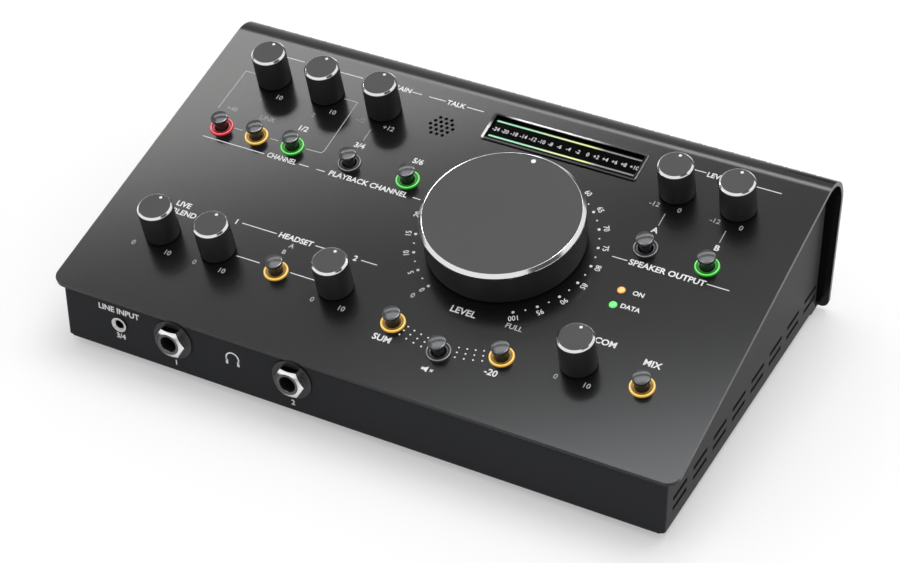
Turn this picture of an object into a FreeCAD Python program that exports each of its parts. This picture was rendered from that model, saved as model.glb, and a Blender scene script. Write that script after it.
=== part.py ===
import FreeCAD, Part
import math
import os

V = FreeCAD.Vector

# All sizes are in millimetres and degrees.
# Working frame: the origin is where the volume dial's axis meets the panel's surface, X to the right,
# Y to the back, Z up.  On the sloped panel u runs right, v up the slope and w out of the surface.

# Case
panel_tilt = 14.55
rear_lean = 2.37
cover_width = 257.0
cover_sheet = 1.8
case_middle = -25.7
panel_front = -79.4
panel_rear = 64.2
roll_radius = 14.5
rear_drop = 48.7
panel_corner = 5.0
rear_corner = 3.0
pan_bottom = -46.4
tub_sheet = 1.2
tub_inset = 3.9
tub_bend = 1.4
tub_relief = 2.0
tub_relief_height = 1.3
front_face = -74.65
side_rear = 72.0
flange_width = 6.0
return_flange = 8.0
lip_height = 8.0
lip_margin = 8.6
seat = 0.05
foot_height = 3.0
foot_radius = 7.5
foot_inset = 30.5
foot_front_setback = 14.65
foot_rear_setback = 14.0
half_cover = cover_width / 2
half_tub = half_cover - tub_inset
lip_half_width = half_tub - lip_margin
panel_left = case_middle - half_cover
panel_right = case_middle + half_cover

# Cover brackets, welded under the panel and screwed from below
bracket_gap = 3.1
bracket_sheet = 1.5
bracket_width = 14.0
bracket_foot = 9.0
bracket_y = -38.0
bracket_x = half_tub - flange_width - bracket_gap

# Vents
side_slot_length = 12.3
side_slot_height = 1.9
side_slot_pitch = 18.05
side_slot_first = -62.0
side_slot_rows = (-34.0, -38.6)
side_slot_groups = 8
rear_slot_width = 1.8
rear_slot_margin = 9.0
rear_slot_count = 37
rear_slot_start = 65.0
rear_slot_tail = 2.0

# Meter
meter_v = 51.15
meter_bezel_length = 66.0
meter_bezel_width = 14.4
meter_bezel_proud = 0.7
meter_opening_length = 63.0
meter_opening_width = 12.1
meter_sleeve = 0.5
meter_window_top = -0.8
meter_window_foot = -2.4
meter_bar_length = 61.8
meter_bar_width = 1.2
meter_bar_offset = 4.3
meter_fit = 0.05

# Panel controls, (u, v): the left and right groups keep their distance from the panel's edges
small_knobs = {
    "input_1": (panel_left + 28.7, 44.6),
    "input_2": (panel_left + 53.0, 44.6),
    "line_trim": (panel_left + 78.9, 44.7),
    "monitor_a_trim": (panel_right - 52.9, 44.9),
    "monitor_b_trim": (panel_right - 28.3, 45.0),
    "direct_monitoring": (panel_left + 28.5, -43.1),
    "phones_1": (panel_left + 53.3, -43.1),
    "phones_2": (panel_left + 104.5, -43.1),
    "talkback": (panel_right - 53.0, -43.0),
}
buttons = {
    "phantom_power": (panel_left + 21.7, 13.8),
    "stereo_link": (panel_left + 37.5, 14.3),
    "source_1_2": (panel_left + 53.8, 14.4),
    "source_3_4": (panel_left + 79.4, 14.4),
    "source_usb": (panel_left + 105.0, 14.5),
    "monitor_a": (panel_right - 52.7, 15.0),
    "monitor_b": (panel_right - 28.2, 14.9),
    "phones_source": (panel_left + 79.5, -44.3),
    "mono": (-21.6, -50.4),
    "mute": (0.3, -56.5),
    "dim": (22.6, -50.2),
    "cue": (panel_right - 27.9, -44.3),
}
ring_groups = {
    "light_ring_red": ("phantom_power",),
    "light_rings_amber": ("stereo_link", "phones_source", "mono", "dim", "cue"),
    "light_rings_green": ("source_1_2", "source_usb", "monitor_b"),
    "light_rings_unlit": ("source_3_4", "monitor_a", "mute"),
}
status_lights = ((panel_right - 52.95, -6.35), (panel_right - 52.95, -13.7))
microphone_gap = 16.8
microphone_at = (-meter_bezel_length / 2 - microphone_gap, 44.5)
microphone_pitch = 2.45
microphone_hole = 0.75

# Sockets in the front wall, (x, z)
front_jacks = ((panel_left + 52.9, -30.8), (panel_left + 104.4, -30.8))
mini_jack_at = (panel_left + 28.8, -32.1)

# Boards, measured down from the panel's surface or up from the pan
board_sheet = 1.6
board_gap = 2.0
control_board_top = -11.3
control_board_half = bracket_x - board_gap
control_board_rear = 60.0
control_board_front = -62.5
control_board_jack_edge = -49.5
control_board_step = front_jacks[1][0] + 13.8
control_standoffs = (
    (panel_left + 40.7, 56.0),
    (microphone_at[0] - 12.7, 56.0),
    (meter_bezel_length / 2 + 6.5, 56.0),
    (panel_right - 19.8, 56.0),
    (panel_left + 20.2, -8.0),
    (panel_left + 79.4, -12.0),
    (panel_right - 62.8, -22.0),
    (panel_right - 19.8, -10.0),
    (panel_left + 40.6, -43.0),
    (panel_right - 40.8, -51.0),
)
main_board_top = -38.0
main_board_half = bracket_x - bracket_foot - board_gap - 0.5
main_board_front = front_face + tub_sheet + 1.05
main_board_rear = side_rear + 2.4
main_standoff_inset = 5.0
main_standoff_x = (main_standoff_inset - main_board_half, 0.0, main_board_half - main_standoff_inset)
main_standoff_y = (-42.0, 40.0)
standoff_flats = 5.5
screw_radius = 1.4
screw_fit = 0.05
screw_clear = 1.7
screw_head_radius = 2.6
screw_head_height = 1.6

# Small knob
knob_base_gap = 0.6
knob_base_radius = 7.0
knob_shoulder_radius = 6.9
knob_shoulder = 14.1
knob_top = 15.3
knob_ring_top = 15.4
knob_ring_band = 0.25
knob_disc_radius = 5.85
knob_wall = 1.6
boss_radius = 4.6
shaft_radius = 3.0
shaft_fit = 0.03
running_fit = 0.05
shaft_flat = 1.5
shaft_flat_from = 2.0
shaft_reach = 10.6
shaft_foot = -9.3
ring_fit = 0.04

# Volume knob
dial_base_gap = 0.9
dial_base_radius = 30.7
dial_flare = 0.5
dial_radius = dial_base_radius + dial_flare
dial_shoulder = 14.2
dial_top = 16.0
dial_ring_top = 16.15
dial_ring_band = 0.75
dial_ring_width = 1.4
dial_wall = 3.0

# Potentiometers and switches
pot_width = 9.8
pot_length = 11.2
pot_top = -4.6
dial_pot_width = 16.6
dial_pot_top = -3.6
bushing_radius = 3.5
bushing_top = -0.6
bushing_hole = 3.7
switch_width = 6.2
switch_top = -7.5
switch_bore_floor = -10.7

# Push button and its light ring
cap_radius = 3.65
cap_top = 6.45
cap_rim = 5.9
cap_under = 4.75
neck_radius = 2.4
neck_foot = -5.0
stem_radius = 1.7
stem_foot = -8.5
ring_radius = 4.75
ring_bore = 2.9
ring_proud = 0.72
ring_lip = 0.45
ring_groove_outer = 3.9
ring_groove_inner = 3.45
ring_groove_floor = 0.15
ring_flange = 5.9
ring_foot = -3.3

# Sockets
jack_bore = 3.3
jack_sleeve = 4.45
jack_hole = 4.6
jack_depth = 29.4
jack_bore_depth = 28.2
jack_body_width = 15.5
jack_body_height = 13.5
nut_flats = 11.4
nut_face = 4.0
nut_corner = 2.9
nut_chamfer_radius = 4.9
washer_radius = 8.25
washer_sheet = 0.8
rear_jack_pitch = 24.0
rear_jack_x = [half_cover - 28.5 - rear_jack_pitch * k for k in (3, 2, 1, 0)]
rear_jack_z = -31.2
mini_bore = 1.8
mini_mouth = 2.3
mini_sleeve = 3.2
mini_proud = 0.9
mini_depth = 16.0
combo_x = (30.5 - half_cover, 64.5 - half_cover)
combo_z = -22.0
combo_plate_width = 26.0
combo_plate_height = 31.0
combo_plate = 1.6
combo_radius = 11.9
combo_groove_outer = 10.3
combo_groove_inner = 8.0
combo_screw_x = 9.5
combo_screw_y = 12.0
usb_x = combo_x[1] + (rear_jack_x[0] - combo_x[1]) * 33 / 92
dc_x = combo_x[1] + (rear_jack_x[0] - combo_x[1]) * 57 / 92
low_socket_z = -32.4
usb_width = 12.0
usb_height = 11.0
usb_opening_width = 8.5
usb_opening_height = 7.8
dc_width = 9.0
dc_nose = 4.4
dc_bore = 2.9
dc_pin = 1.0
cover_screw_x = (4.0 - lip_half_width, combo_x[1] + 18.0, rear_jack_x[0] - 13.0,
                 (rear_jack_x[2] + rear_jack_x[3]) / 2)
cover_screw_z = -41.8

tilt = math.radians(panel_tilt)
lean = math.radians(rear_lean)
pan_top = pan_bottom + tub_sheet
control_board_foot = control_board_top - board_sheet
main_board_foot = main_board_top - board_sheet


def section_point(v, w):
    return (v * math.cos(tilt) - w * math.sin(tilt), v * math.sin(tilt) + w * math.cos(tilt))


roll_y, roll_z = section_point(panel_rear, -roll_radius)


def roll_point(radius, angle):
    turn = math.radians(angle)
    return (roll_y + radius * math.cos(turn), roll_z + radius * math.sin(turn))


def rear_y(z):
    top_y, top_z = roll_point(roll_radius, -rear_lean)
    return top_y - (top_z - z) * math.tan(lean)


def box(x0, x1, y0, y1, z0, z1):
    return Part.makeBox(x1 - x0, y1 - y0, z1 - z0, V(x0, y0, z0))


def disc(radius, z0, z1, x=0.0, y=0.0):
    return Part.makeCylinder(radius, z1 - z0, V(x, y, z0))


def plate(length, width, corner, z0, z1):
    body = box(-length / 2, length / 2, -width / 2, width / 2, z0, z1)
    upright = [edge for edge in body.Edges if abs(edge.Length - (z1 - z0)) < 1e-6]
    return body.makeFillet(corner, upright)


def turned(profile):
    corners = [V(r, 0, z) for r, z in profile]
    face = Part.Face(Part.makePolygon(corners + corners[:1]))
    return face.revolve(V(0, 0, 0), V(0, 0, 1), 360)


def across(points, x0, x1):
    corners = [V(x0, y, z) for y, z in points]
    face = Part.Face(Part.makePolygon(corners + corners[:1]))
    return face.extrude(V(x1 - x0, 0, 0))


def hexagon(flats, z0, z1):
    reach = flats / math.sqrt(3)
    corners = [V(reach * math.cos(math.radians(60 * k)), reach * math.sin(math.radians(60 * k)), z0)
               for k in range(6)]
    return Part.Face(Part.makePolygon(corners + corners[:1])).extrude(V(0, 0, z1 - z0))


def on_panel(shape, u, v):
    placed = shape.copy()
    placed.rotate(V(0, 0, 0), V(1, 0, 0), panel_tilt)
    y, z = section_point(v, 0)
    placed.translate(V(u, y, z))
    return placed


def on_front(shape, x, z):
    placed = shape.copy()
    placed.rotate(V(0, 0, 0), V(1, 0, 0), 90)
    placed.translate(V(x, front_face, z))
    return placed


def on_rear(shape, x, z):
    placed = shape.copy()
    placed.rotate(V(0, 0, 0), V(1, 0, 0), 90)
    placed.rotate(V(0, 0, 0), V(0, 0, 1), 180)
    placed.rotate(V(0, 0, 0), V(1, 0, 0), -rear_lean)
    placed.translate(V(case_middle + x, rear_y(z), z))
    return placed


def screw(seat_z, length):
    head = disc(screw_head_radius, seat_z, seat_z + screw_head_height)
    head = head.makeFillet(0.6, [head.Edges[0]])
    slot = disc(1.2, seat_z + screw_head_height - 0.9, seat_z + screw_head_height + 1)
    shank = disc(screw_radius, seat_z - length, seat_z)
    return head.cut(slot).fuse(shank)


def flipped(shape):
    turned_over = shape.copy()
    turned_over.rotate(V(0, 0, 0), V(1, 0, 0), 180)
    return turned_over


# Top cover: sloped panel, rear roll and rear panel in one bent sheet
def cover_sheet_solid():
    x0 = case_middle - half_cover
    inner_radius = roll_radius - cover_sheet
    middle_angle = 45.0
    top_front = section_point(panel_front, 0)
    top_rear = roll_point(roll_radius, 90 + panel_tilt)
    roll_end = roll_point(roll_radius, -rear_lean)
    drop_end = (roll_end[0] - rear_drop * math.sin(lean), roll_end[1] - rear_drop * math.cos(lean))
    inner_end = roll_point(inner_radius, -rear_lean)
    inner_drop = (inner_end[0] - rear_drop * math.sin(lean), inner_end[1] - rear_drop * math.cos(lean))
    inner_rear = roll_point(inner_radius, 90 + panel_tilt)
    inner_front = section_point(panel_front, -cover_sheet)

    def at(point):
        return V(x0, point[0], point[1])

    outer_arc = Part.Arc(at(top_rear), at(roll_point(roll_radius, middle_angle)), at(roll_end))
    inner_arc = Part.Arc(at(inner_end), at(roll_point(inner_radius, middle_angle)), at(inner_rear))
    edges = [
        Part.makeLine(at(top_front), at(top_rear)),
        outer_arc.toShape(),
        Part.makeLine(at(roll_end), at(drop_end)),
        Part.makeLine(at(drop_end), at(inner_drop)),
        Part.makeLine(at(inner_drop), at(inner_end)),
        inner_arc.toShape(),
        Part.makeLine(at(inner_rear), at(inner_front)),
        Part.makeLine(at(inner_front), at(top_front)),
    ]
    sheet = Part.Face(Part.Wire(edges)).extrude(V(cover_width, 0, 0))
    thin = [edge for edge in sheet.Edges if abs(edge.Length - cover_sheet) < 1e-3]
    sheet = sheet.makeFillet(panel_corner, [edge for edge in thin if edge.CenterOfMass.y < 0])
    thin = [edge for edge in sheet.Edges if abs(edge.Length - cover_sheet) < 1e-3]
    low = [edge for edge in thin if edge.CenterOfMass.y > 0 and edge.CenterOfMass.z < pan_top + 3]
    return sheet.makeFillet(rear_corner, low)


def rear_slots():
    inner = roll_radius - 2 * cover_sheet
    outer = roll_radius + 6
    tail_z = roll_point(roll_radius, -rear_lean)[1] - rear_slot_tail
    outline = [
        roll_point(inner, rear_slot_start),
        roll_point(outer, rear_slot_start),
        (roll_y + outer + 6, roll_z + outer),
        (roll_y + outer + 6, tail_z),
        (roll_y + inner - 2, tail_z),
    ]
    first = case_middle - half_cover + rear_slot_margin
    pitch = (cover_width - 2 * rear_slot_margin) / (rear_slot_count - 1)
    half = rear_slot_width / 2
    return [across(outline, first + pitch * k - half, first + pitch * k + half)
            for k in range(rear_slot_count)]


def microphone_holes():
    rows = (3, 4, 5, 4, 3)
    rise = microphone_pitch * math.sqrt(3) / 2
    holes = []
    for row, count in enumerate(rows):
        for k in range(count):
            u = (k - (count - 1) / 2) * microphone_pitch
            holes.append(disc(microphone_hole, -5, 5, u, (row - 2) * rise))
    return Part.makeCompound(holes)


def brackets():
    pieces = []
    for side in (-1, 1):
        outer = case_middle + side * (bracket_x + bracket_sheet)
        inner = case_middle + side * bracket_x
        toe = case_middle + side * (bracket_x - bracket_foot)
        leg_front = bracket_y - bracket_width / 2
        leg_rear = bracket_y + bracket_width / 2
        low = pan_top
        under = [section_point(y / math.cos(tilt), -cover_sheet * 0.6) for y in (leg_front, leg_rear)]
        outline = [(leg_front, low), (leg_rear, low), (leg_rear, under[1][1]), (leg_front, under[0][1])]
        leg = across(outline, min(inner, outer), max(inner, outer))
        foot = box(min(toe, outer), max(toe, outer), leg_front, leg_rear, low, low + bracket_sheet)
        pieces.append(leg.fuse(foot))
    return pieces


def bracket_screw_points():
    return [(case_middle + side * (bracket_x - bracket_foot / 2), bracket_y) for side in (-1, 1)]


def make_top_cover():
    cover = cover_sheet_solid()
    for piece in brackets():
        cover = cover.fuse(piece)
    cutters = [on_panel(disc(bushing_hole, -5, 5), u, v) for u, v in small_knobs.values()]
    cutters.append(on_panel(disc(bushing_hole, -5, 5), 0, 0))
    cutters += [on_panel(disc(ring_radius + seat, -5, 5), u, v) for u, v in buttons.values()]
    cutters += [on_panel(disc(1.6, -5, 5), u, v) for u, v in status_lights]
    cutters.append(on_panel(microphone_holes(), *microphone_at))
    sleeve_length = meter_opening_length + 2 * meter_sleeve + 2 * meter_fit
    sleeve_width = meter_opening_width + 2 * meter_sleeve + 2 * meter_fit
    cutters.append(on_panel(plate(sleeve_length, sleeve_width, 0.6, -5, 5), 0, meter_v))
    cutters += rear_slots()
    cutters += [on_rear(disc(jack_hole, -5, 5), x, rear_jack_z) for x in rear_jack_x]
    for x in combo_x:
        cutters.append(on_rear(disc(combo_radius + 0.2, -5, 5), x, combo_z))
        for side in (-1, 1):
            hole = disc(screw_radius + screw_fit, -5, 5, side * combo_screw_x, side * combo_screw_y)
            cutters.append(on_rear(hole, x, combo_z))
    cutters.append(on_rear(plate(usb_width + 0.4, usb_height + 0.4, 0.5, -5, 5), usb_x, low_socket_z))
    cutters.append(on_rear(disc(dc_nose + 0.2, -5, 5), dc_x, low_socket_z))
    cutters += [on_rear(disc(screw_clear, -2.5, 5), x, cover_screw_z) for x in cover_screw_x]
    for x, y in bracket_screw_points():
        cutters.append(disc(screw_radius + screw_fit, pan_bottom, pan_top + 5, x, y))
    return cover.cut(cutters)


# Chassis tub: bottom pan, front wall, side walls, flanges and rear lip
def tub_block(inset):
    roof_w = -cover_sheet - 2 * seat - inset
    front = front_face + inset
    rear = side_rear - inset
    roof_v = (front + roof_w * math.sin(tilt)) / math.cos(tilt)
    roof_front = section_point(roof_v, roof_w)
    roof_rear = section_point(panel_rear - 2, roof_w)
    drop = math.sqrt((roll_radius - cover_sheet - 0.2) ** 2 - (side_rear - roll_y) ** 2)
    outline = [
        (front, pan_bottom + inset),
        (rear, pan_bottom + inset),
        (rear, roll_z + drop - inset),
        roof_rear,
        roof_front,
    ]
    block = across(outline, case_middle - half_tub + inset, case_middle + half_tub - inset)
    bent = []
    for edge in block.Edges:
        middle = edge.CenterOfMass
        at_side = abs(abs(middle.x - case_middle) - (half_tub - inset)) < 1e-3
        at_front = abs(middle.y - front) < 1e-3
        at_bottom = abs(middle.z - (pan_bottom + inset)) < 1e-3
        if (at_side and at_front) or (at_side and at_bottom) or (at_front and at_bottom):
            bent.append(edge)
    return block.makeFillet(tub_bend - inset * 0.9, bent)


def side_vents():
    slots = []
    for side in (-1, 1):
        wall = case_middle + side * half_tub
        for row in side_slot_rows:
            for k in range(side_slot_groups):
                middle = side_slot_first + side_slot_pitch * k
                slots.append(box(wall - 3, wall + 3, middle - side_slot_length / 2,
                                 middle + side_slot_length / 2, row - side_slot_height / 2,
                                 row + side_slot_height / 2))
    return slots


def rear_lip():
    face_y = rear_y(pan_bottom) - cover_sheet - 2 * seat
    rise = lip_height
    outline = [
        (side_rear - 4, pan_bottom),
        (face_y, pan_bottom),
        (face_y + rise * math.tan(lean), pan_bottom + rise),
        (face_y + rise * math.tan(lean) - tub_sheet, pan_bottom + rise),
        (face_y + tub_sheet * math.tan(lean) - tub_sheet, pan_top),
        (side_rear - 4, pan_top),
    ]
    lip = across(outline, case_middle - lip_half_width, case_middle + lip_half_width)
    return lip.fuse(box(case_middle - half_tub, case_middle + half_tub, side_rear - 4, face_y,
                        pan_bottom, pan_top))


def make_chassis_tub():
    tub = tub_block(0).cut(tub_block(tub_sheet))
    mouth = half_tub - flange_width
    roof_cut = box(-mouth, mouth, panel_front + 12, panel_rear + 12, -8, 20)
    cutters = [on_panel(roof_cut, case_middle, 0)]
    door = half_tub - return_flange
    cutters.append(box(case_middle - door, case_middle + door, side_rear - 2, side_rear + 2, pan_top, 30))
    cutters += side_vents()
    for side in (-1, 1):
        corner = case_middle + side * half_tub
        cutters.append(box(corner - tub_relief, corner + tub_relief, front_face - 1,
                           front_face + tub_relief, pan_bottom - 1, pan_bottom + tub_relief_height))
    cutters += [on_front(disc(jack_hole, -5, 5), x, z) for x, z in front_jacks]
    cutters.append(on_front(disc(mini_sleeve + 0.1, -5, 5), *mini_jack_at))
    tub = tub.cut(cutters).fuse(rear_lip())
    holes = [on_rear(disc(screw_radius + screw_fit, -8, -cover_sheet), x, cover_screw_z)
             for x in cover_screw_x]
    holes += [disc(screw_clear, pan_bottom - 1, pan_top + 1, x, y) for x, y in bracket_screw_points()]
    return tub.cut(holes)


# Boards and their standoffs
def make_control_board():
    left = case_middle - control_board_half
    right = case_middle + control_board_half
    outline = [
        (left, control_board_rear),
        (left, control_board_jack_edge),
        (control_board_step, control_board_jack_edge),
        (control_board_step, control_board_front),
        (right, control_board_front),
        (right, control_board_rear),
    ]
    corners = [V(u, v, control_board_foot) for u, v in outline]
    board = Part.Face(Part.makePolygon(corners + corners[:1])).extrude(V(0, 0, board_sheet))
    holes = [disc(screw_clear, control_board_foot - 1, control_board_top + 1, u, v)
             for u, v in control_standoffs]
    return on_panel(board.cut(holes), 0, 0)


def main_standoff_points():
    return [(case_middle + x, y) for x in main_standoff_x for y in main_standoff_y]


def make_main_board():
    board = box(case_middle - main_board_half, case_middle + main_board_half,
                main_board_front, main_board_rear, main_board_foot, main_board_top)
    holes = [disc(screw_clear, main_board_foot - 1, main_board_top + 1, x, y)
             for x, y in main_standoff_points()]
    return board.cut(holes)


def make_standoffs():
    top = -cover_sheet - seat
    hanging = hexagon(standoff_flats, control_board_top, top)
    hanging = hanging.cut(disc(screw_radius + screw_fit, control_board_top - 1, top - 2))
    standing = hexagon(standoff_flats, pan_top, main_board_foot)
    standing = standing.cut(disc(screw_radius + screw_fit, pan_top + 0.6, main_board_foot + 1))
    solids = [on_panel(hanging, u, v) for u, v in control_standoffs]
    for x, y in main_standoff_points():
        post = standing.copy()
        post.translate(V(x, y, 0))
        solids.append(post)
    return Part.makeCompound(solids)


def make_screws():
    solids = []
    hanging = flipped(screw(-control_board_foot, board_sheet + 5.5))
    solids += [on_panel(hanging, u, v) for u, v in control_standoffs]
    for x, y in main_standoff_points():
        standing = screw(main_board_top, board_sheet + 4.5)
        standing.translate(V(x, y, 0))
        solids.append(standing)
    for x, y in bracket_screw_points():
        lifting = flipped(screw(-pan_bottom, tub_sheet + bracket_sheet + 1.5))
        lifting.translate(V(x, y, 0))
        solids.append(lifting)
    solids += [on_rear(screw(0, cover_sheet + tub_sheet + 1.5), x, cover_screw_z) for x in cover_screw_x]
    for x in combo_x:
        for side in (-1, 1):
            fixing = screw(combo_plate, combo_plate + cover_sheet + 1.5)
            fixing.translate(V(side * combo_screw_x, side * combo_screw_y, 0))
            solids.append(on_rear(fixing, x, combo_z))
    return Part.makeCompound(solids)


def make_feet():
    foot = disc(foot_radius, pan_bottom - foot_height, pan_bottom)
    foot = foot.makeFillet(0.8, [edge for edge in foot.Edges
                                 if abs(edge.CenterOfMass.z - pan_bottom + foot_height) < 1e-3])
    solids = []
    for x in (foot_inset - half_cover, half_cover - foot_inset):
        for y in (front_face + foot_front_setback, side_rear - foot_rear_setback):
            placed = foot.copy()
            placed.translate(V(case_middle + x, y, 0))
            solids.append(placed)
    return Part.makeCompound(solids)


def make_ribbon():
    u0 = -34.0
    u1 = -14.0
    plug_top = box(u0, u1, -3, 3, control_board_foot - 6, control_board_foot)
    upper = on_panel(plug_top, 0, 10)
    lower = box(u0, u1, -23, -17, main_board_top, main_board_top + 6)
    start = section_point(10, control_board_foot - 5)
    path = [start, (start[0] + 2, start[1] - 7), (-14, main_board_top + 13), (-20, main_board_top + 5)]
    ribbon = upper.fuse(lower)
    half = 0.5
    for (y0, z0), (y1, z1) in zip(path, path[1:]):
        length = math.hypot(y1 - y0, z1 - z0)
        ny = -(z1 - z0) / length * half
        nz = (y1 - y0) / length * half
        outline = [(y0 + ny, z0 + nz), (y1 + ny, z1 + nz), (y1 - ny, z1 - nz), (y0 - ny, z0 - nz)]
        ribbon = ribbon.fuse(across(outline, u0 + 1, u1 - 1))
    for y, z in path[1:-1]:
        ribbon = ribbon.fuse(Part.makeCylinder(half, u1 - u0 - 2, V(u0 + 1, y, z), V(1, 0, 0)))
    return ribbon


# Potentiometers, shafts and knobs
def pot(width, length, top):
    body = box(-width / 2, width / 2, -length / 2, length / 2, control_board_top, top)
    body = body.fuse(disc(bushing_radius, top, bushing_top))
    return body.cut(disc(shaft_radius + running_fit, shaft_foot - 0.2, 2))


def shaft():
    rod = disc(shaft_radius, shaft_foot, shaft_reach)
    return rod.cut(box(-5, 5, shaft_flat, 5, shaft_flat_from, shaft_reach + 1))


def shaft_bore(floor, ceiling):
    bore = disc(shaft_radius + shaft_fit, floor, ceiling)
    return bore.cut(box(-5, 5, shaft_flat + shaft_fit, 5, shaft_flat_from + 0.2, ceiling + 1))


def small_knob():
    inner = knob_base_radius - knob_wall
    ceiling = knob_shoulder - knob_wall
    shell = turned([
        (0, knob_base_gap + 1.2), (boss_radius, knob_base_gap + 1.2), (boss_radius, ceiling),
        (inner - 0.4, ceiling), (inner, knob_base_gap), (knob_base_radius - 0.3, knob_base_gap),
        (knob_base_radius, knob_base_gap + 0.3), (knob_shoulder_radius, knob_shoulder),
        (knob_disc_radius, knob_shoulder), (knob_disc_radius, knob_top), (0, knob_top),
    ])
    return shell.cut(shaft_bore(knob_base_gap, shaft_reach + 0.2))


def small_ring():
    inner = knob_disc_radius + ring_fit
    seat_z = knob_shoulder + ring_fit
    outer = knob_shoulder_radius - 0.05
    return turned([
        (inner, seat_z), (outer, seat_z), (outer, seat_z + knob_ring_band),
        (inner + 0.1, knob_ring_top), (inner, knob_ring_top - 0.1),
    ])


def dial_knob():
    ceiling = dial_shoulder - 3.4
    floor = dial_shoulder + 0.5
    ring_inner = dial_radius - dial_ring_width
    shell = turned([
        (0, dial_base_gap + 1.2), (6.0, dial_base_gap + 1.2), (6.0, ceiling),
        (dial_base_radius - dial_wall, ceiling), (dial_base_radius - dial_wall, dial_base_gap),
        (dial_base_radius - 0.5, dial_base_gap), (dial_base_radius, dial_base_gap + 0.5),
        (dial_radius, dial_shoulder), (ring_inner - 0.6, dial_shoulder), (ring_inner - 0.6, floor),
        (0, floor),
    ])
    return shell.cut(shaft_bore(dial_base_gap, shaft_reach + 0.2))


def dial_disc():
    radius = dial_radius - dial_ring_width - ring_fit
    floor = dial_shoulder + 0.5 + ring_fit
    return turned([(0, floor), (radius - 0.6, floor), (radius, dial_top - 0.9),
                   (radius, dial_top - 0.1), (radius - 0.1, dial_top), (0, dial_top)])


def dial_ring():
    inner = dial_radius - dial_ring_width
    seat_z = dial_shoulder + ring_fit
    return turned([
        (inner, seat_z + 1.0), (inner + 0.8, seat_z), (dial_radius, seat_z),
        (dial_radius, seat_z + dial_ring_band), (inner + 0.15, dial_ring_top), (inner, dial_ring_top - 0.1),
    ])


# Push buttons, switches and light rings
def push_button():
    return turned([
        (0, stem_foot), (stem_radius, stem_foot), (stem_radius, neck_foot), (neck_radius, neck_foot),
        (neck_radius, cap_under), (cap_radius - 0.25, cap_under), (cap_radius, cap_under + 0.25),
        (cap_radius, cap_rim - 0.15), (cap_radius - 0.12, cap_rim), (cap_radius * 0.7, cap_top - 0.26),
        (cap_radius * 0.35, cap_top - 0.06), (0, cap_top),
    ])


def push_switch():
    half = switch_width / 2
    body = box(-half, half, -half, half, control_board_top, switch_top)
    body = body.fuse(disc(stem_radius + 0.8, switch_top, switch_top + 0.6))
    return body.cut(disc(stem_radius + 0.1, switch_bore_floor, 0))


def light_ring():
    return turned([
        (ring_bore, ring_foot), (ring_flange, ring_foot), (ring_flange, -cover_sheet - seat),
        (ring_radius, -cover_sheet - seat), (ring_radius, ring_proud - 0.35),
        (ring_radius - 0.12, ring_proud - 0.1), (ring_radius - 0.35, ring_proud),
        (ring_radius - 0.58, ring_proud - 0.1), (ring_groove_outer, ring_groove_floor),
        (ring_groove_inner, ring_groove_floor), (ring_groove_inner - 0.1, ring_lip),
        (ring_bore + 0.1, ring_lip), (ring_bore, ring_lip - 0.1),
    ])


# Meter, microphone and status lights
def make_meter_bezel():
    frame = plate(meter_bezel_length, meter_bezel_width, 1.2, 0, meter_bezel_proud)
    rim = [edge for edge in frame.Edges if abs(edge.CenterOfMass.z - meter_bezel_proud) < 1e-3]
    frame = frame.makeChamfer(0.35, rim)
    sleeve = plate(meter_opening_length + 2 * meter_sleeve, meter_opening_width + 2 * meter_sleeve,
                   0.5, meter_window_foot, 0)
    opening = box(-meter_opening_length / 2, meter_opening_length / 2, -meter_opening_width / 2,
                  meter_opening_width / 2, -5, 5)
    return on_panel(frame.fuse(sleeve).cut(opening), 0, meter_v)


def make_meter_window():
    half_length = meter_opening_length / 2 - meter_fit
    half_width = meter_opening_width / 2 - meter_fit
    pane = box(-half_length, half_length, -half_width, half_width, meter_window_foot, meter_window_top)
    slots = []
    for side in (-1, 1):
        middle = side * meter_bar_offset
        reach = meter_bar_length / 2 + meter_fit
        slots.append(box(-reach, reach, middle - meter_bar_width / 2 - meter_fit,
                         middle + meter_bar_width / 2 + meter_fit, -5, 5))
    return on_panel(pane.cut(slots), 0, meter_v)


def make_meter_bars():
    solids = []
    for side in (-1, 1):
        middle = side * meter_bar_offset
        bar = box(-meter_bar_length / 2, meter_bar_length / 2, middle - meter_bar_width / 2,
                  middle + meter_bar_width / 2, control_board_top, meter_window_top + 0.02)
        solids.append(on_panel(bar, 0, meter_v))
    return Part.makeCompound(solids)


def make_microphone():
    capsule = turned([(0, control_board_top), (6.0, control_board_top), (6.0, -6.5), (4.85, -6.0),
                      (4.85, -2.3), (4.55, -2.0), (0, -2.0)])
    return on_panel(capsule, *microphone_at)


def make_status_leds():
    lamp = turned([(0, control_board_top), (1.9, control_board_top), (1.9, -3.0), (1.5, -3.0),
                   (1.5, 0), (1.25, 0.3), (0.7, 0.5), (0, 0.55)])
    return Part.makeCompound([on_panel(lamp, u, v) for u, v in status_lights])


# Sockets, drawn with the wall's outer face at z = 0 and the mouth towards +z
def phone_jack(wall):
    half = jack_body_width / 2
    body = box(-half, half, -jack_body_height / 2, jack_body_height / 2, -jack_depth, -wall)
    body = body.fuse(disc(jack_sleeve, -wall, nut_face - 0.2))
    body = body.cut(disc(jack_bore, -jack_bore_depth, nut_face))
    mouth = turned([(0, nut_face - 0.6), (jack_bore, nut_face - 0.6), (jack_bore + 0.5, nut_face),
                    (0, nut_face)])
    return body.cut(mouth)


def jack_nut():
    blank = hexagon(nut_flats, washer_sheet, nut_face)
    reach = nut_flats / math.sqrt(3) + 0.2
    crown = turned([(0, 0), (reach, 0), (reach, nut_corner), (nut_chamfer_radius, nut_face),
                    (0, nut_face)])
    return blank.common(crown).cut(disc(jack_sleeve + 0.05, 0, nut_face + 1))


def jack_washer():
    return disc(washer_radius, 0, washer_sheet).cut(disc(jack_hole, -1, 2))


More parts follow.
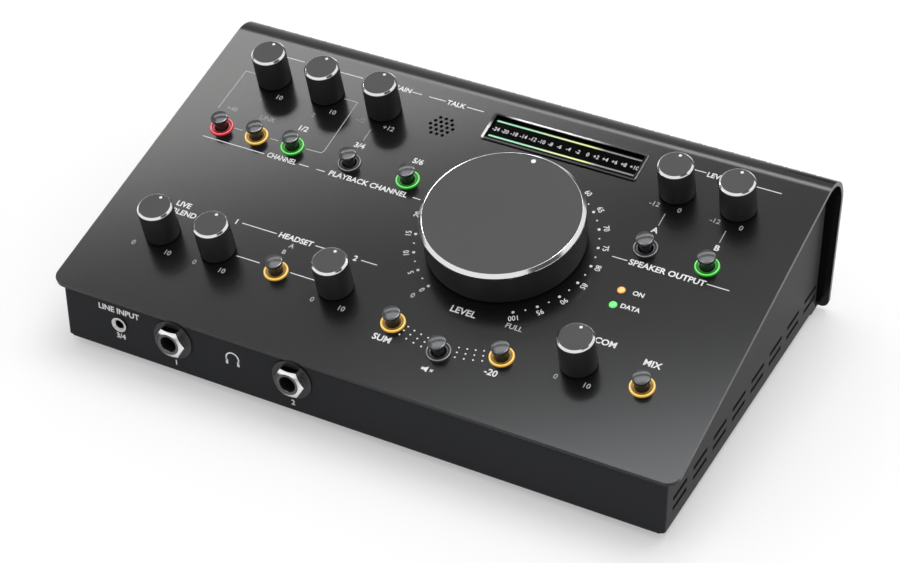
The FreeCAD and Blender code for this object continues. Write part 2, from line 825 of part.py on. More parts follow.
def make_jack_set(front_shape, rear_shape):
    solids = [on_front(front_shape, x, z) for x, z in front_jacks]
    solids += [on_rear(rear_shape, x, rear_jack_z) for x in rear_jack_x]
    return Part.makeCompound(solids)


def make_mini_jack():
    low = main_board_top - mini_jack_at[1]
    body = box(-4, 4, low, 3.6, -mini_depth, -tub_sheet)
    body = body.fuse(disc(mini_sleeve, -tub_sheet, mini_proud))
    body = body.cut(disc(mini_bore, -mini_depth + 1.5, mini_proud + 1))
    mouth = turned([(0, mini_proud - 0.5), (mini_bore, mini_proud - 0.5), (mini_mouth, mini_proud),
                    (0, mini_proud)])
    return on_front(body.cut(mouth), *mini_jack_at)


def combo_input():
    base = main_board_top - combo_z
    body = disc(combo_radius, -26, 0)
    body = body.fuse(box(-9, 9, base, -7, -22, -cover_sheet - 2))
    body = body.fuse(plate(combo_plate_width, combo_plate_height, 3.0, 0, combo_plate))
    groove = disc(combo_groove_outer, -12, 5).cut(disc(combo_groove_inner, -13, 6))
    cutters = [groove, disc(jack_bore, -24, 5)]
    for angle in (90, 210, 330):
        turn = math.radians(angle)
        cutters.append(disc(1.3, -11, 5, 5.6 * math.cos(turn), 5.6 * math.sin(turn)))
    for side in (-1, 1):
        cutters.append(disc(screw_clear, -1, 5, side * combo_screw_x, side * combo_screw_y))
    return body.cut(cutters)


def make_usb_socket():
    shell = plate(usb_width, usb_height, 0.4, -16, 0.6)
    cavity = box(-usb_opening_width / 2, usb_opening_width / 2, -usb_opening_height / 2,
                 usb_opening_height / 2, -10, 2)
    tongue = box(-2.8, 2.8, -1.6, 1.6, -10.5, -1.2)
    return on_rear(shell.cut(cavity).fuse(tongue), usb_x, low_socket_z)


def make_dc_socket():
    half = dc_width / 2
    body = box(-half, half, -5.5, 5.5, -15, -cover_sheet - seat)
    body = body.fuse(disc(dc_nose, -cover_sheet - seat, 0.5))
    body = body.cut(disc(dc_bore, -9.5, 2))
    return on_rear(body.fuse(disc(dc_pin, -10, -0.6)), dc_x, low_socket_z)


print("case")
nodes = {
    "top_cover": make_top_cover(),
    "chassis_tub": make_chassis_tub(),
    "rubber_feet": make_feet(),
    "machine_screws": make_screws(),
    "control_board": make_control_board(),
    "main_board": make_main_board(),
    "board_standoffs": make_standoffs(),
    "ribbon_cable": make_ribbon(),
}

print("controls")
pots = [on_panel(pot(pot_width, pot_length, pot_top), u, v) for u, v in small_knobs.values()]
pots.append(on_panel(pot(dial_pot_width, dial_pot_width, dial_pot_top), 0, 0))
nodes["potentiometers"] = Part.makeCompound(pots)
nodes["push_switches"] = Part.makeCompound([on_panel(push_switch(), u, v) for u, v in buttons.values()])
for name, (u, v) in small_knobs.items():
    nodes[name + "_knob"] = on_panel(small_knob(), u, v)
    nodes[name + "_ring_and_shaft"] = on_panel(Part.makeCompound([small_ring(), shaft()]), u, v)
nodes["volume_knob"] = on_panel(dial_knob(), 0, 0)
nodes["volume_knob_disc"] = on_panel(dial_disc(), 0, 0)
nodes["volume_ring_and_shaft"] = on_panel(Part.makeCompound([dial_ring(), shaft()]), 0, 0)
for name, (u, v) in buttons.items():
    nodes[name + "_button"] = on_panel(push_button(), u, v)
for name, members in ring_groups.items():
    nodes[name] = Part.makeCompound([on_panel(light_ring(), *buttons[member]) for member in members])

print("meter and lights")
nodes["meter_bezel"] = make_meter_bezel()
nodes["meter_window"] = make_meter_window()
nodes["meter_light_bars"] = make_meter_bars()
nodes["talkback_microphone"] = make_microphone()
nodes["status_leds"] = make_status_leds()

print("sockets")
nodes["phone_jacks"] = make_jack_set(phone_jack(tub_sheet), phone_jack(cover_sheet))
nodes["jack_nuts"] = make_jack_set(jack_nut(), jack_nut())
nodes["jack_washers"] = make_jack_set(jack_washer(), jack_washer())
nodes["stereo_in_jack"] = make_mini_jack()
nodes["combo_inputs"] = Part.makeCompound([on_rear(combo_input(), x, combo_z) for x in combo_x])
nodes["usb_socket"] = make_usb_socket()
nodes["dc_power_socket"] = make_dc_socket()

# The stored frame has its origin at the bottom centre of the whole object.
whole = Part.makeCompound(list(nodes.values())).optimalBoundingBox(False, False)
shift = V(-(whole.XMin + whole.XMax) / 2, -(whole.YMin + whole.YMax) / 2, -whole.ZMin)
os.makedirs("parts", exist_ok=True)
for name, shape in nodes.items():
    shape.translate(shift)
    shape.exportStep("parts/" + name + ".step")
print("origin moved by", shift, "nodes", len(nodes))
print("overall", whole.XLength, whole.YLength, whole.ZLength)
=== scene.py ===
import bpy
import math
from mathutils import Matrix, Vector


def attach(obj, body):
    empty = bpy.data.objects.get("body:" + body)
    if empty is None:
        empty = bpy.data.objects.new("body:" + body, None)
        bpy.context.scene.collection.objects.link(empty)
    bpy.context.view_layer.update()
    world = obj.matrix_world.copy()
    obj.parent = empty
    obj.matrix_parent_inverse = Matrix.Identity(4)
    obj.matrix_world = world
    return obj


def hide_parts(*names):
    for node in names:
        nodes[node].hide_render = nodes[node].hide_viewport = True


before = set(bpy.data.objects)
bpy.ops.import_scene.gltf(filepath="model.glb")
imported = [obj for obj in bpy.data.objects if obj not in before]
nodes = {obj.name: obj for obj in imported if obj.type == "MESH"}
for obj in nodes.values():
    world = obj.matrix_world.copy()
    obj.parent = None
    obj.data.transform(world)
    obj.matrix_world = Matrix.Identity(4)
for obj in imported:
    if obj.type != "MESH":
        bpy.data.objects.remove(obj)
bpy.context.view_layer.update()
scene = bpy.context.scene
print("frame loaded")

# Pieces are made in millimetres round the origin, then placed on the sloped panel or front wall
case = {
    "panelTilt": 14.55,
    "dialAt": (25.7, -2.2337, 49.4),  # the dial's middle, from which all places are counted
    "frontWall": -76.8837,
    "coverEdge": 0.1,
    "tubEdge": 0.2,
}
tilt = math.radians(case["panelTilt"])

# Angles in degrees: edges sharper than these are broken, or stay sharp in shading
modelling = {
    "bevelSteps": 2,
    "turnedEdge": 35,
    "turnedSmooth": 32,
    "copiedEdge": 40,
    "copiedSmooth": 30,
    "copiedFlat": 0.5,
    "normalWeight": 80,
    "mergeTurned": 0.0005,  # millimetres
    "mergeCopied": 0.000002,  # metres
}


def clearSelection():
    if bpy.context.object and bpy.context.object.mode != "OBJECT":
        bpy.ops.object.mode_set(mode="OBJECT")
    bpy.ops.object.select_all(action="DESELECT")


def pick(piece):
    clearSelection()
    bpy.context.view_layer.objects.active = piece
    piece.select_set(True)


def applyModifier(piece, kind, **settings):
    pick(piece)
    modifier = piece.modifiers.new(kind.lower(), kind)
    for key, value in settings.items():
        setattr(modifier, key, value)
    bpy.ops.object.modifier_apply(modifier=modifier.name)


def breakEdges(piece, width, sharpest):
    applyModifier(piece, "BEVEL", width=width, segments=modelling["bevelSteps"],
                  limit_method="ANGLE", angle_limit=math.radians(sharpest), use_clamp_overlap=True)


def softenEdges(piece, width=0, smoothAngle=modelling["turnedSmooth"]):
    if width:
        breakEdges(piece, width, modelling["turnedEdge"])
    pick(piece)
    bpy.ops.object.shade_smooth_by_angle(angle=math.radians(smoothAngle))


def place(piece, location, turn):
    pick(piece)
    piece.location = location
    piece.rotation_euler = turn
    piece.scale = (0.001, 0.001, 0.001)
    bpy.ops.object.transform_apply(location=True, rotation=True, scale=True)
    return piece


# u runs right, v up the slope and w out of the panel, and the point comes back in metres
def panelPoint(u, v, w=0.0):
    x, y, z = case["dialAt"]
    return Vector(((x + u) / 1000, (y + v * math.cos(tilt) - w * math.sin(tilt)) / 1000,
                   (z + v * math.sin(tilt) + w * math.cos(tilt)) / 1000))


def placeOnPanel(piece, u, v, w=0.0):
    return place(piece, panelPoint(u, v, w), (tilt, 0, 0))


def placeOnFront(piece, x, z, out=0.0):
    spot = Vector(((x + case["dialAt"][0]) / 1000, (case["frontWall"] - out) / 1000,
                   (z + case["dialAt"][2]) / 1000))
    return place(piece, spot, (math.radians(90), 0, 0))


def copyOf(piece, name):
    twin = bpy.data.objects.new(name, piece.data.copy())
    scene.collection.objects.link(twin)
    return twin


def joinPieces(pieces, name):
    clearSelection()
    for piece in pieces:
        piece.select_set(True)
    bpy.context.view_layer.objects.active = pieces[0]
    if len(pieces) > 1:
        bpy.ops.object.join()
    joined = bpy.context.object
    joined.name = name
    return joined


def dress(piece, materials):
    piece.data.materials.clear()
    for material in materials:
        piece.data.materials.append(material)


def fit(piece, body, slotName, *standsFor):
    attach(piece, body)
    if standsFor:
        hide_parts(*standsFor)


# A profile of (radius, height) points, spun about the upright axis
def turnPiece(name, outline, steps, turn=math.tau):
    clearSelection()
    bpy.ops.mesh.primitive_plane_add(size=1)
    piece = bpy.context.object
    piece.name = name
    bpy.ops.object.mode_set(mode="EDIT")
    bpy.ops.mesh.select_all(action="SELECT")
    bpy.ops.mesh.merge(type="CENTER")
    bpy.ops.transform.translate(value=(outline[0][0], 0, outline[0][1]))
    for (r0, z0), (r1, z1) in zip(outline, outline[1:]):
        step = (r1 - r0, 0, z1 - z0)
        bpy.ops.mesh.extrude_vertices_move(TRANSFORM_OT_translate={"value": step})
    bpy.ops.mesh.select_all(action="SELECT")
    bpy.ops.mesh.spin(steps=steps, angle=turn, center=(0, 0, 0), axis=(0, 0, 1))
    bpy.ops.mesh.select_all(action="SELECT")
    bpy.ops.mesh.remove_doubles(threshold=modelling["mergeTurned"])
    bpy.ops.mesh.normals_make_consistent(inside=False)
    bpy.ops.object.mode_set(mode="OBJECT")
    return piece


def closed(outline):
    return list(outline) + [outline[0]]


# A copy of a sheet metal or machined part with its edges broken
def softCopy(name, node, edge=0):
    clearSelection()
    piece = bpy.data.objects.new(name, nodes[node].data.copy())
    scene.collection.objects.link(piece)
    pick(piece)
    bpy.ops.object.mode_set(mode="EDIT")
    bpy.ops.mesh.select_all(action="SELECT")
    bpy.ops.mesh.remove_doubles(threshold=modelling["mergeCopied"])
    bpy.ops.mesh.dissolve_limited(angle_limit=math.radians(modelling["copiedFlat"]))
    bpy.ops.object.mode_set(mode="OBJECT")
    if edge:
        breakEdges(piece, edge / 1000, modelling["copiedEdge"])
    pick(piece)
    bpy.ops.object.shade_smooth_by_angle(angle=math.radians(modelling["copiedSmooth"]))
    applyModifier(piece, "WEIGHTED_NORMAL", keep_sharp=True, weight=modelling["normalWeight"])
    return piece


def newGroup(name, inputs, outputs):
    group = bpy.data.node_groups.new(name, "ShaderNodeTree")
    for label, kind, value in inputs:
        socket = group.interface.new_socket(name=label, in_out="INPUT", socket_type=kind)
        socket.default_value = value
    for label, kind in outputs:
        group.interface.new_socket(name=label, in_out="OUTPUT", socket_type=kind)
    return group, group.nodes.new("NodeGroupInput"), group.nodes.new("NodeGroupOutput")


# Links a socket to an input, or sets the input to a plain value
def feed(tree, socket, term):
    if isinstance(term, bpy.types.NodeSocket):
        tree.links.new(term, socket)
    else:
        socket.default_value = term


def noiseNode(tree, vector, scale, detail, rough=0.5):
    noise = tree.nodes.new("ShaderNodeTexNoise")
    for label, term in (("Vector", vector), ("Scale", scale), ("Detail", detail),
                        ("Roughness", rough)):
        feed(tree, noise.inputs[label], term)
    return noise.outputs["Fac"]


# Takes a value that runs from start to end over to one that runs from low to high
def spread(tree, value, low, high, start, end):
    ranged = tree.nodes.new("ShaderNodeMapRange")
    ranged.interpolation_type = "SMOOTHSTEP"
    for label, term in (("Value", value), ("From Min", start), ("From Max", end),
                        ("To Min", low), ("To Max", high)):
        feed(tree, ranged.inputs[label], term)
    return ranged.outputs["Result"]


def calculate(tree, operation, *terms):
    node = tree.nodes.new("ShaderNodeMath")
    node.operation = operation
    for socket, term in zip(node.inputs, terms):
        feed(tree, socket, term)
    return node.outputs[0]


def mixTints(tree, under, over, share, blend="MIX"):
    mixed = tree.nodes.new("ShaderNodeMix")
    mixed.data_type = "RGBA"
    mixed.blend_type = blend
    for label, term in (("Factor", share), ("A", under), ("B", over)):
        feed(tree, mixed.inputs[label], term)
    return mixed.outputs["Result"]


def axesOf(tree, vector):
    split = tree.nodes.new("ShaderNodeSeparateXYZ")
    tree.links.new(vector, split.inputs[0])
    return split.outputs


# A new ramp has two stops, and the rest are added
def rampOf(tree, value, stops):
    ramp = tree.nodes.new("ShaderNodeValToRGB")
    tree.links.new(value, ramp.inputs["Fac"])
    elements = ramp.color_ramp.elements
    for index, (stop, color) in enumerate(stops):
        element = elements[index] if index < 2 else elements.new(stop)
        element.position = stop
        element.color = (*color, 1.0)
    return ramp.outputs["Color"]


surface = {
    "grainDetail": 2.0,
    "patchDetail": 1.5,
    "patchRough": 0.4,
    "patchSpan": (0.15, 0.85),
    "bumpDistance": 0.00005,
    "edgeRadius": 0.0005,
    "edgeSamples": 4,
    "edgeSpan": (0.9, 0.995),
    "rubbedDetail": 3.0,
    "rubbedSpan": (0.42, 0.62),
}


# Fine grain, cloudy gloss and slight tone changes; Stretch draws the grain out into brushing
def buildSurfaceGrain():
    group, given, out = newGroup("surfaceGrain", [
        ("Grain Scale", "NodeSocketFloat", 2200.0),
        ("Patch Scale", "NodeSocketFloat", 30.0),
        ("Stretch", "NodeSocketVector", (1.0, 1.0, 1.0)),
        ("Bump Depth", "NodeSocketFloat", 0.2),
        ("Rough Low", "NodeSocketFloat", 0.3),
        ("Rough High", "NodeSocketFloat", 0.45),
        ("Tone Low", "NodeSocketFloat", 0.92),
        ("Tone High", "NodeSocketFloat", 1.08),
    ], [("Tone", "NodeSocketFloat"), ("Roughness", "NodeSocketFloat"),
        ("Normal", "NodeSocketVector")])
    spot = group.nodes.new("ShaderNodeTexCoord").outputs["Object"]
    drawn = group.nodes.new("ShaderNodeMapping")
    group.links.new(spot, drawn.inputs["Vector"])
    group.links.new(given.outputs["Stretch"], drawn.inputs["Scale"])
    grain = noiseNode(group, drawn.outputs["Vector"], given.outputs["Grain Scale"],
                      surface["grainDetail"])
    patches = noiseNode(group, spot, given.outputs["Patch Scale"], surface["patchDetail"],
                        surface["patchRough"])
    for label, socket in (("Rough", "Roughness"), ("Tone", "Tone")):
        ranged = spread(group, patches, given.outputs[label + " Low"],
                        given.outputs[label + " High"], *surface["patchSpan"])
        group.links.new(ranged, out.inputs[socket])
    bump = group.nodes.new("ShaderNodeBump")
    bump.inputs["Distance"].default_value = surface["bumpDistance"]
    group.links.new(grain, bump.inputs["Height"])
    group.links.new(given.outputs["Bump Depth"], bump.inputs["Strength"])
    group.links.new(bump.outputs["Normal"], out.inputs["Normal"])
    return group


# Where the rounded normal leaves the flat one is an edge, lightened where handling has rubbed it
# in places: wear, and also a painted edge highlight
def buildEdgeWearAndHighlight():
    group, given, out = newGroup("edgeWearAndHighlight", [
        ("Break Up", "NodeSocketFloat", 260.0),
        ("Amount", "NodeSocketFloat", 0.5),
    ], [("Mask", "NodeSocketFloat")])
    rounded = group.nodes.new("ShaderNodeBevel")
    rounded.samples = surface["edgeSamples"]
    rounded.inputs["Radius"].default_value = surface["edgeRadius"]
    plain = group.nodes.new("ShaderNodeNewGeometry")
    match = group.nodes.new("ShaderNodeVectorMath")
    match.operation = "DOT_PRODUCT"
    group.links.new(rounded.outputs["Normal"], match.inputs[0])
    group.links.new(plain.outputs["Normal"], match.inputs[1])
    edge = spread(group, match.outputs["Value"], 1.0, 0.0, *surface["edgeSpan"])
    spot = group.nodes.new("ShaderNodeTexCoord").outputs["Object"]
    breaks = noiseNode(group, spot, given.outputs["Break Up"], surface["rubbedDetail"])
    rubbed = spread(group, breaks, 0.0, 1.0, *surface["rubbedSpan"])
    wearAndHighlight = calculate(group, "MULTIPLY", edge, rubbed)
    wearAndHighlight = calculate(group, "MULTIPLY", wearAndHighlight, given.outputs["Amount"])
    group.links.new(wearAndHighlight, out.inputs["Mask"])
    return group


surfaceGrain = buildSurfaceGrain()
edgeWearAndHighlight = buildEdgeWearAndHighlight()


def finish(name, color, grain=2200, patch=30, stretch=(1, 1, 1), depth=0.2, rough=(0.3, 0.45),
           tone=(0.92, 1.08), wearAndHighlight=None, wearAndHighlightAmount=0.5, **sockets):
    material = bpy.data.materials.new(name)
    material.use_nodes = True
    tree = material.node_tree
    shader = tree.nodes["Principled BSDF"]
    for key, value in sockets.items():
        shader.inputs[key.replace("_", " ")].default_value = value
    effect = tree.nodes.new("ShaderNodeGroup")
    effect.node_tree = surfaceGrain
    values = {"Grain Scale": grain, "Patch Scale": patch, "Stretch": stretch,
              "Bump Depth": depth, "Rough Low": rough[0], "Rough High": rough[1],
              "Tone Low": tone[0], "Tone High": tone[1]}
    for key, value in values.items():
        effect.inputs[key].default_value = value
    tint = mixTints(tree, (*color, 1.0), effect.outputs["Tone"], 1.0, "MULTIPLY")
    # the edges' colour is wear and also a painted edge highlight
    if wearAndHighlight:
        wearAndHighlightNode = tree.nodes.new("ShaderNodeGroup")
        wearAndHighlightNode.node_tree = edgeWearAndHighlight
        wearAndHighlightNode.inputs["Amount"].default_value = wearAndHighlightAmount
        tint = mixTints(tree, tint, (*wearAndHighlight, 1.0), wearAndHighlightNode.outputs["Mask"])
    tree.links.new(tint, shader.inputs["Base Color"])
    tree.links.new(effect.outputs["Roughness"], shader.inputs["Roughness"])
    tree.links.new(effect.outputs["Normal"], shader.inputs["Normal"])
    return material


finishes = {
    "casePaint": finish("casePaint", (0.0066, 0.0066, 0.0069), grain=2600, patch=18, depth=0.1,
                        rough=(0.175, 0.19), tone=(0.95, 1.05), wearAndHighlight=(0.045, 0.045, 0.045),
                        Specular_IOR_Level=0.24),
    "tubPaint": finish("tubPaint", (0.029, 0.0296, 0.0318), grain=2600, patch=18, depth=0.14,
                       rough=(0.27, 0.3), tone=(0.95, 1.05), wearAndHighlight=(0.06, 0.06, 0.06), IOR=1.09),
    "rubber": finish("rubber", (0.02, 0.02, 0.02), grain=1500, depth=0.3, rough=(0.75, 0.9)),
    "zincSteel": finish("zincSteel", (0.55, 0.55, 0.56), grain=3000, rough=(0.25, 0.45),
                        Metallic=1.0),
    "boardGreen": finish("boardGreen", (0.01, 0.09, 0.04), grain=1200, rough=(0.3, 0.5)),
    "knobBlack": finish("knobBlack", (0.0215, 0.0215, 0.0218), grain=2600, depth=0.12,
                        rough=(0.42, 0.5), wearAndHighlight=(0.035, 0.035, 0.035), wearAndHighlightAmount=0.3,
                        Specular_IOR_Level=0.3),
    "discGrey": finish("discGrey", (0.0465, 0.0465, 0.046), grain=2600, depth=0.1,
                       rough=(0.5, 0.56), tone=(0.97, 1.03), Specular_IOR_Level=0.12),
    "chromeRing": finish("chromeRing", (0.95, 0.95, 0.96), grain=3000, depth=0.03,
                         rough=(0.13, 0.17), tone=(0.97, 1.03), Metallic=1.0),
    "capGloss": finish("capGloss", (0.037, 0.0392, 0.044), grain=2400, depth=0.04,
                       rough=(0.2, 0.24), Specular_IOR_Level=0.24),
    "capRim": finish("capRim", (0.05, 0.053, 0.058), grain=2400, depth=0.03, rough=(0.12, 0.16),
                     Specular_IOR_Level=1.0),
    "neckBlack": finish("neckBlack", (0.026, 0.026, 0.028), grain=2400, depth=0.06,
                        rough=(0.08, 0.14)),
    "nickel": finish("nickel", (0.5, 0.495, 0.485), grain=1600, stretch=(1, 0.12, 0.12), depth=0.25,
                     rough=(0.16, 0.26), wearAndHighlight=(0.9, 0.9, 0.88), wearAndHighlightAmount=0.7, Metallic=1.0),
    "lipSteel": finish("lipSteel", (0.12, 0.119, 0.117), grain=2600, depth=0.3, rough=(0.25, 0.4),
                       tone=(0.7, 1.3), Metallic=1.0),
    "washerDark": finish("washerDark", (0.021, 0.021, 0.022), grain=2600, rough=(0.3, 0.38),
                         wearAndHighlight=(0.12, 0.12, 0.12), wearAndHighlightAmount=0.4, Specular_IOR_Level=0.35),
    "socketBlack": finish("socketBlack", (0.012, 0.012, 0.013), grain=1800, rough=(0.4, 0.55)),
    "plasticGrey": finish("plasticGrey", (0.25, 0.25, 0.26), grain=1800, rough=(0.4, 0.55)),
    "windowBlack": finish("windowBlack", (0.0015, 0.0015, 0.0018), grain=900, depth=0.01,
                          rough=(0.05, 0.08), Specular_IOR_Level=0.03),
    "printWhite": finish("printWhite", (0.78, 0.78, 0.78), grain=3000, rough=(0.5, 0.6)),
    "printGrey": finish("printGrey", (0.42, 0.42, 0.42), grain=3000, rough=(0.5, 0.6)),
    "printDim": finish("printDim", (0.22, 0.22, 0.22), grain=3000, rough=(0.5, 0.6)),
    # Unlit rings: the crest's colour is a painted highlight and the groove's is painted shade
    "ringCrestHighlight": finish("ringCrestHighlight", (0.26, 0.26, 0.265), grain=2500, depth=0.05,
                        rough=(0.15, 0.3)),
    "ringShade": finish("ringShade", (0.035, 0.035, 0.036), grain=2500, depth=0.05,
                        rough=(0.25, 0.4)),
    "ringGrooveShade": finish("ringGrooveShade", (0.014, 0.014, 0.015), grain=2500, depth=0.05,
                         rough=(0.4, 0.55)),
}


def litFinish(name, color, glow, strength):
    material = finish(name, color, grain=2500, depth=0.05, rough=(0.2, 0.35))
    shader = material.node_tree.nodes["Principled BSDF"]
    shader.inputs["Emission Color"].default_value = (*glow, 1.0)
    shader.inputs["Emission Strength"].default_value = strength
    return material


ringGlow = {
    # the glow on the ring's crest, brightened as a painted highlight, then on its slopes
    "colors": {
        "Red": ((0.95, 0.12, 0.15), (0.58, 0.006, 0.02)),
        "Amber": ((0.92, 0.68, 0.2), (0.62, 0.33, 0.022)),
        "Green": ((0.16, 0.78, 0.13), (0.012, 0.38, 0.012)),
    },
    # the plastic's share of the slope's color, then the strength of the light; the crest's level
    # adds a painted highlight and the groove's level is painted shade
    "levels": {"lit": (0.4, 0.95), "low": (0.4, 0.8), "grooveShade": (0.15, 0.16)},
}
for name, (crest, slope) in ringGlow["colors"].items():
    for level, (share, strength) in ringGlow["levels"].items():
        plastic = [part * share for part in slope]
        glow = crest if level == "lit" else slope
        finishes[level + name] = litFinish(level + name, plastic, glow, strength)
finishes["ledAmber"] = litFinish("ledAmber", (0.5, 0.25, 0.05), (1.0, 0.3, 0.05), 1.2)
finishes["ledGreen"] = litFinish("ledGreen", (0.05, 0.5, 0.1), (0.08, 1.0, 0.1), 1.0)
print("finishes made")

cover = softCopy("topCover", "top_cover", case["coverEdge"])
dress(cover, [finishes["casePaint"]])
fit(cover, "case", "painted_steel", "top_cover")
tub = softCopy("chassisTub", "chassis_tub", case["tubEdge"])
dress(tub, [finishes["tubPaint"]])
fit(tub, "case", "painted_steel", "chassis_tub")

# Nodes that keep their own mesh
carried = {
    "rubber_feet": "rubber", "machine_screws": "zincSteel", "control_board": "boardGreen",
    "main_board": "boardGreen", "board_standoffs": "zincSteel", "ribbon_cable": "plasticGrey",
    "potentiometers": "plasticGrey", "push_switches": "socketBlack",
    "talkback_microphone": "socketBlack", "phone_jacks": "socketBlack", "stereo_in_jack": "nickel",
    "combo_inputs": "socketBlack", "usb_socket": "nickel", "dc_power_socket": "socketBlack",
}
for node, finishName in carried.items():
    dress(nodes[node], [finishes[finishName]])
print("case done")

# Outlines are (radius, height) from the panel's surface
knob = {
    "shell": [(0, 1.8), (4.6, 1.8), (4.6, 12.5), (5.0, 12.5), (5.4, 0.6), (6.72, 0.6), (6.9, 0.68),
              (7.0, 0.9), (6.93, 13.9), (6.9, 14.35), (6.05, 14.35), (6.05, 15.22), (5.97, 15.3),
              (0, 15.3)],
    "discFrom": 14.5,
    "top": 15.3,
    "ring": [(6.09, 14.39), (6.85, 14.39), (6.86, 14.5), (6.84, 14.6), (6.78, 14.7), (6.24, 15.25),
             (6.17, 15.32), (6.12, 15.36), (6.09, 15.31)],
    "ringSmooth": 18,
    "shaft": [(0, -9.3), (3.0, -9.3), (3.0, 10.6), (0, 10.6)],
    "shaftSteps": 48,
    "shaftEdge": 0.2,
    "steps": 96,
    "dot": 0.62,
    "dotAt": 4.65,
    "places": {
        "input_1": (-125.5, 44.6), "input_2": (-101.2, 44.6), "line_trim": (-75.3, 44.7),
        "monitor_a_trim": (49.9, 44.9), "monitor_b_trim": (74.5, 45.0),
        "direct_monitoring": (-125.7, -43.1), "phones_1": (-100.9, -43.1),
        "phones_2": (-49.7, -43.1), "talkback": (49.8, -43.0),
    },
}
dial = {
    "shell": [(0, 2.1), (6.0, 2.1), (6.0, 10.8), (27.7, 10.8), (27.7, 0.9), (30.2, 0.9),
              (30.55, 1.02), (30.7, 1.4), (31.18, 13.9), (31.2, 14.2), (29.2, 14.2), (29.2, 14.7),
              (0, 14.7)],
    "disc": [(0, 14.74), (29.16, 14.74), (29.76, 15.1), (29.76, 15.88), (29.64, 16.0), (0, 16.0)],
    "top": 16.0,
    "ring": [(29.8, 15.24), (30.6, 14.24), (31.16, 14.24), (31.2, 14.32), (31.19, 14.9),
             (31.14, 15.02), (30.1, 16.02), (30.0, 16.1), (29.9, 16.15), (29.82, 16.11),
             (29.8, 16.0)],
    "steps": 192,
    "dot": 0.95,
    "dotAt": 27.3,
}
pointer = {
    "sunk": 0.1,
    "edge": 0.015,
    "proud": 0.03,
    "steps": 24,
}


# The white dot of a knob or the dial, dressed and out at its reach
def pointerDot(name, maker):
    radius, edge, proud = maker["dot"], pointer["edge"], pointer["proud"]
    outline = [(0, -pointer["sunk"]), (radius, -pointer["sunk"]), (radius, edge),
               (radius - proud, proud), (0, proud)]
    dot = turnPiece(name, outline, pointer["steps"])
    dress(dot, [finishes["printWhite"]])
    pick(dot)
    dot.location = (0, maker["dotAt"], maker["top"])
    bpy.ops.object.transform_apply(location=True, rotation=False, scale=False)
    return dot


def ringOnShaft(name, maker):
    ring = turnPiece(name + "Ring", closed(maker["ring"]), maker["steps"])
    softenEdges(ring, smoothAngle=knob["ringSmooth"])
    dress(ring, [finishes["chromeRing"]])
    shaft = turnPiece(name + "Shaft", knob["shaft"], knob["shaftSteps"])
    softenEdges(shaft, knob["shaftEdge"])
    dress(shaft, [finishes["zincSteel"]])
    return joinPieces([ring, shaft], name + "Ring")


def makeKnobs():
    shell = turnPiece("knobShell", knob["shell"], knob["steps"])
    softenEdges(shell)
    dress(shell, [finishes["knobBlack"], finishes["discGrey"]])
    for face in shell.data.polygons:
        if face.center.z > knob["discFrom"]:
            face.material_index = 1
    shell = joinPieces([shell, pointerDot("knobDot", knob)], "knobShell")
    ring = ringOnShaft("knob", knob)
    for name, (u, v) in knob["places"].items():
        body = name + "_control"
        ownShell = placeOnPanel(copyOf(shell, name + "Knob"), u, v)
        fit(ownShell, body, "knob_plastic", name + "_knob")
        ownRing = placeOnPanel(copyOf(ring, name + "Ring"), u, v)
        fit(ownRing, body, "bright_chrome", name + "_ring_and_shaft")
    bpy.data.objects.remove(shell)
    bpy.data.objects.remove(ring)


def makeDial():
    shell = turnPiece("volumeShell", dial["shell"], dial["steps"])
    softenEdges(shell)
    dress(shell, [finishes["knobBlack"]])
    fit(placeOnPanel(shell, 0, 0), "volume_control", "knob_plastic", "volume_knob")
    disc = turnPiece("volumeDisc", dial["disc"], dial["steps"])
    softenEdges(disc)
    dress(disc, [finishes["discGrey"]])
    disc = joinPieces([disc, pointerDot("volumeDot", dial)], "volumeDisc")
    fit(placeOnPanel(disc, 0, 0), "volume_control", "disc_plastic", "volume_knob_disc")
    ring = placeOnPanel(ringOnShaft("volume", dial), 0, 0)
    fit(ring, "volume_control", "bright_chrome", "volume_ring_and_shaft")


makeKnobs()
makeDial()
print("knobs done")

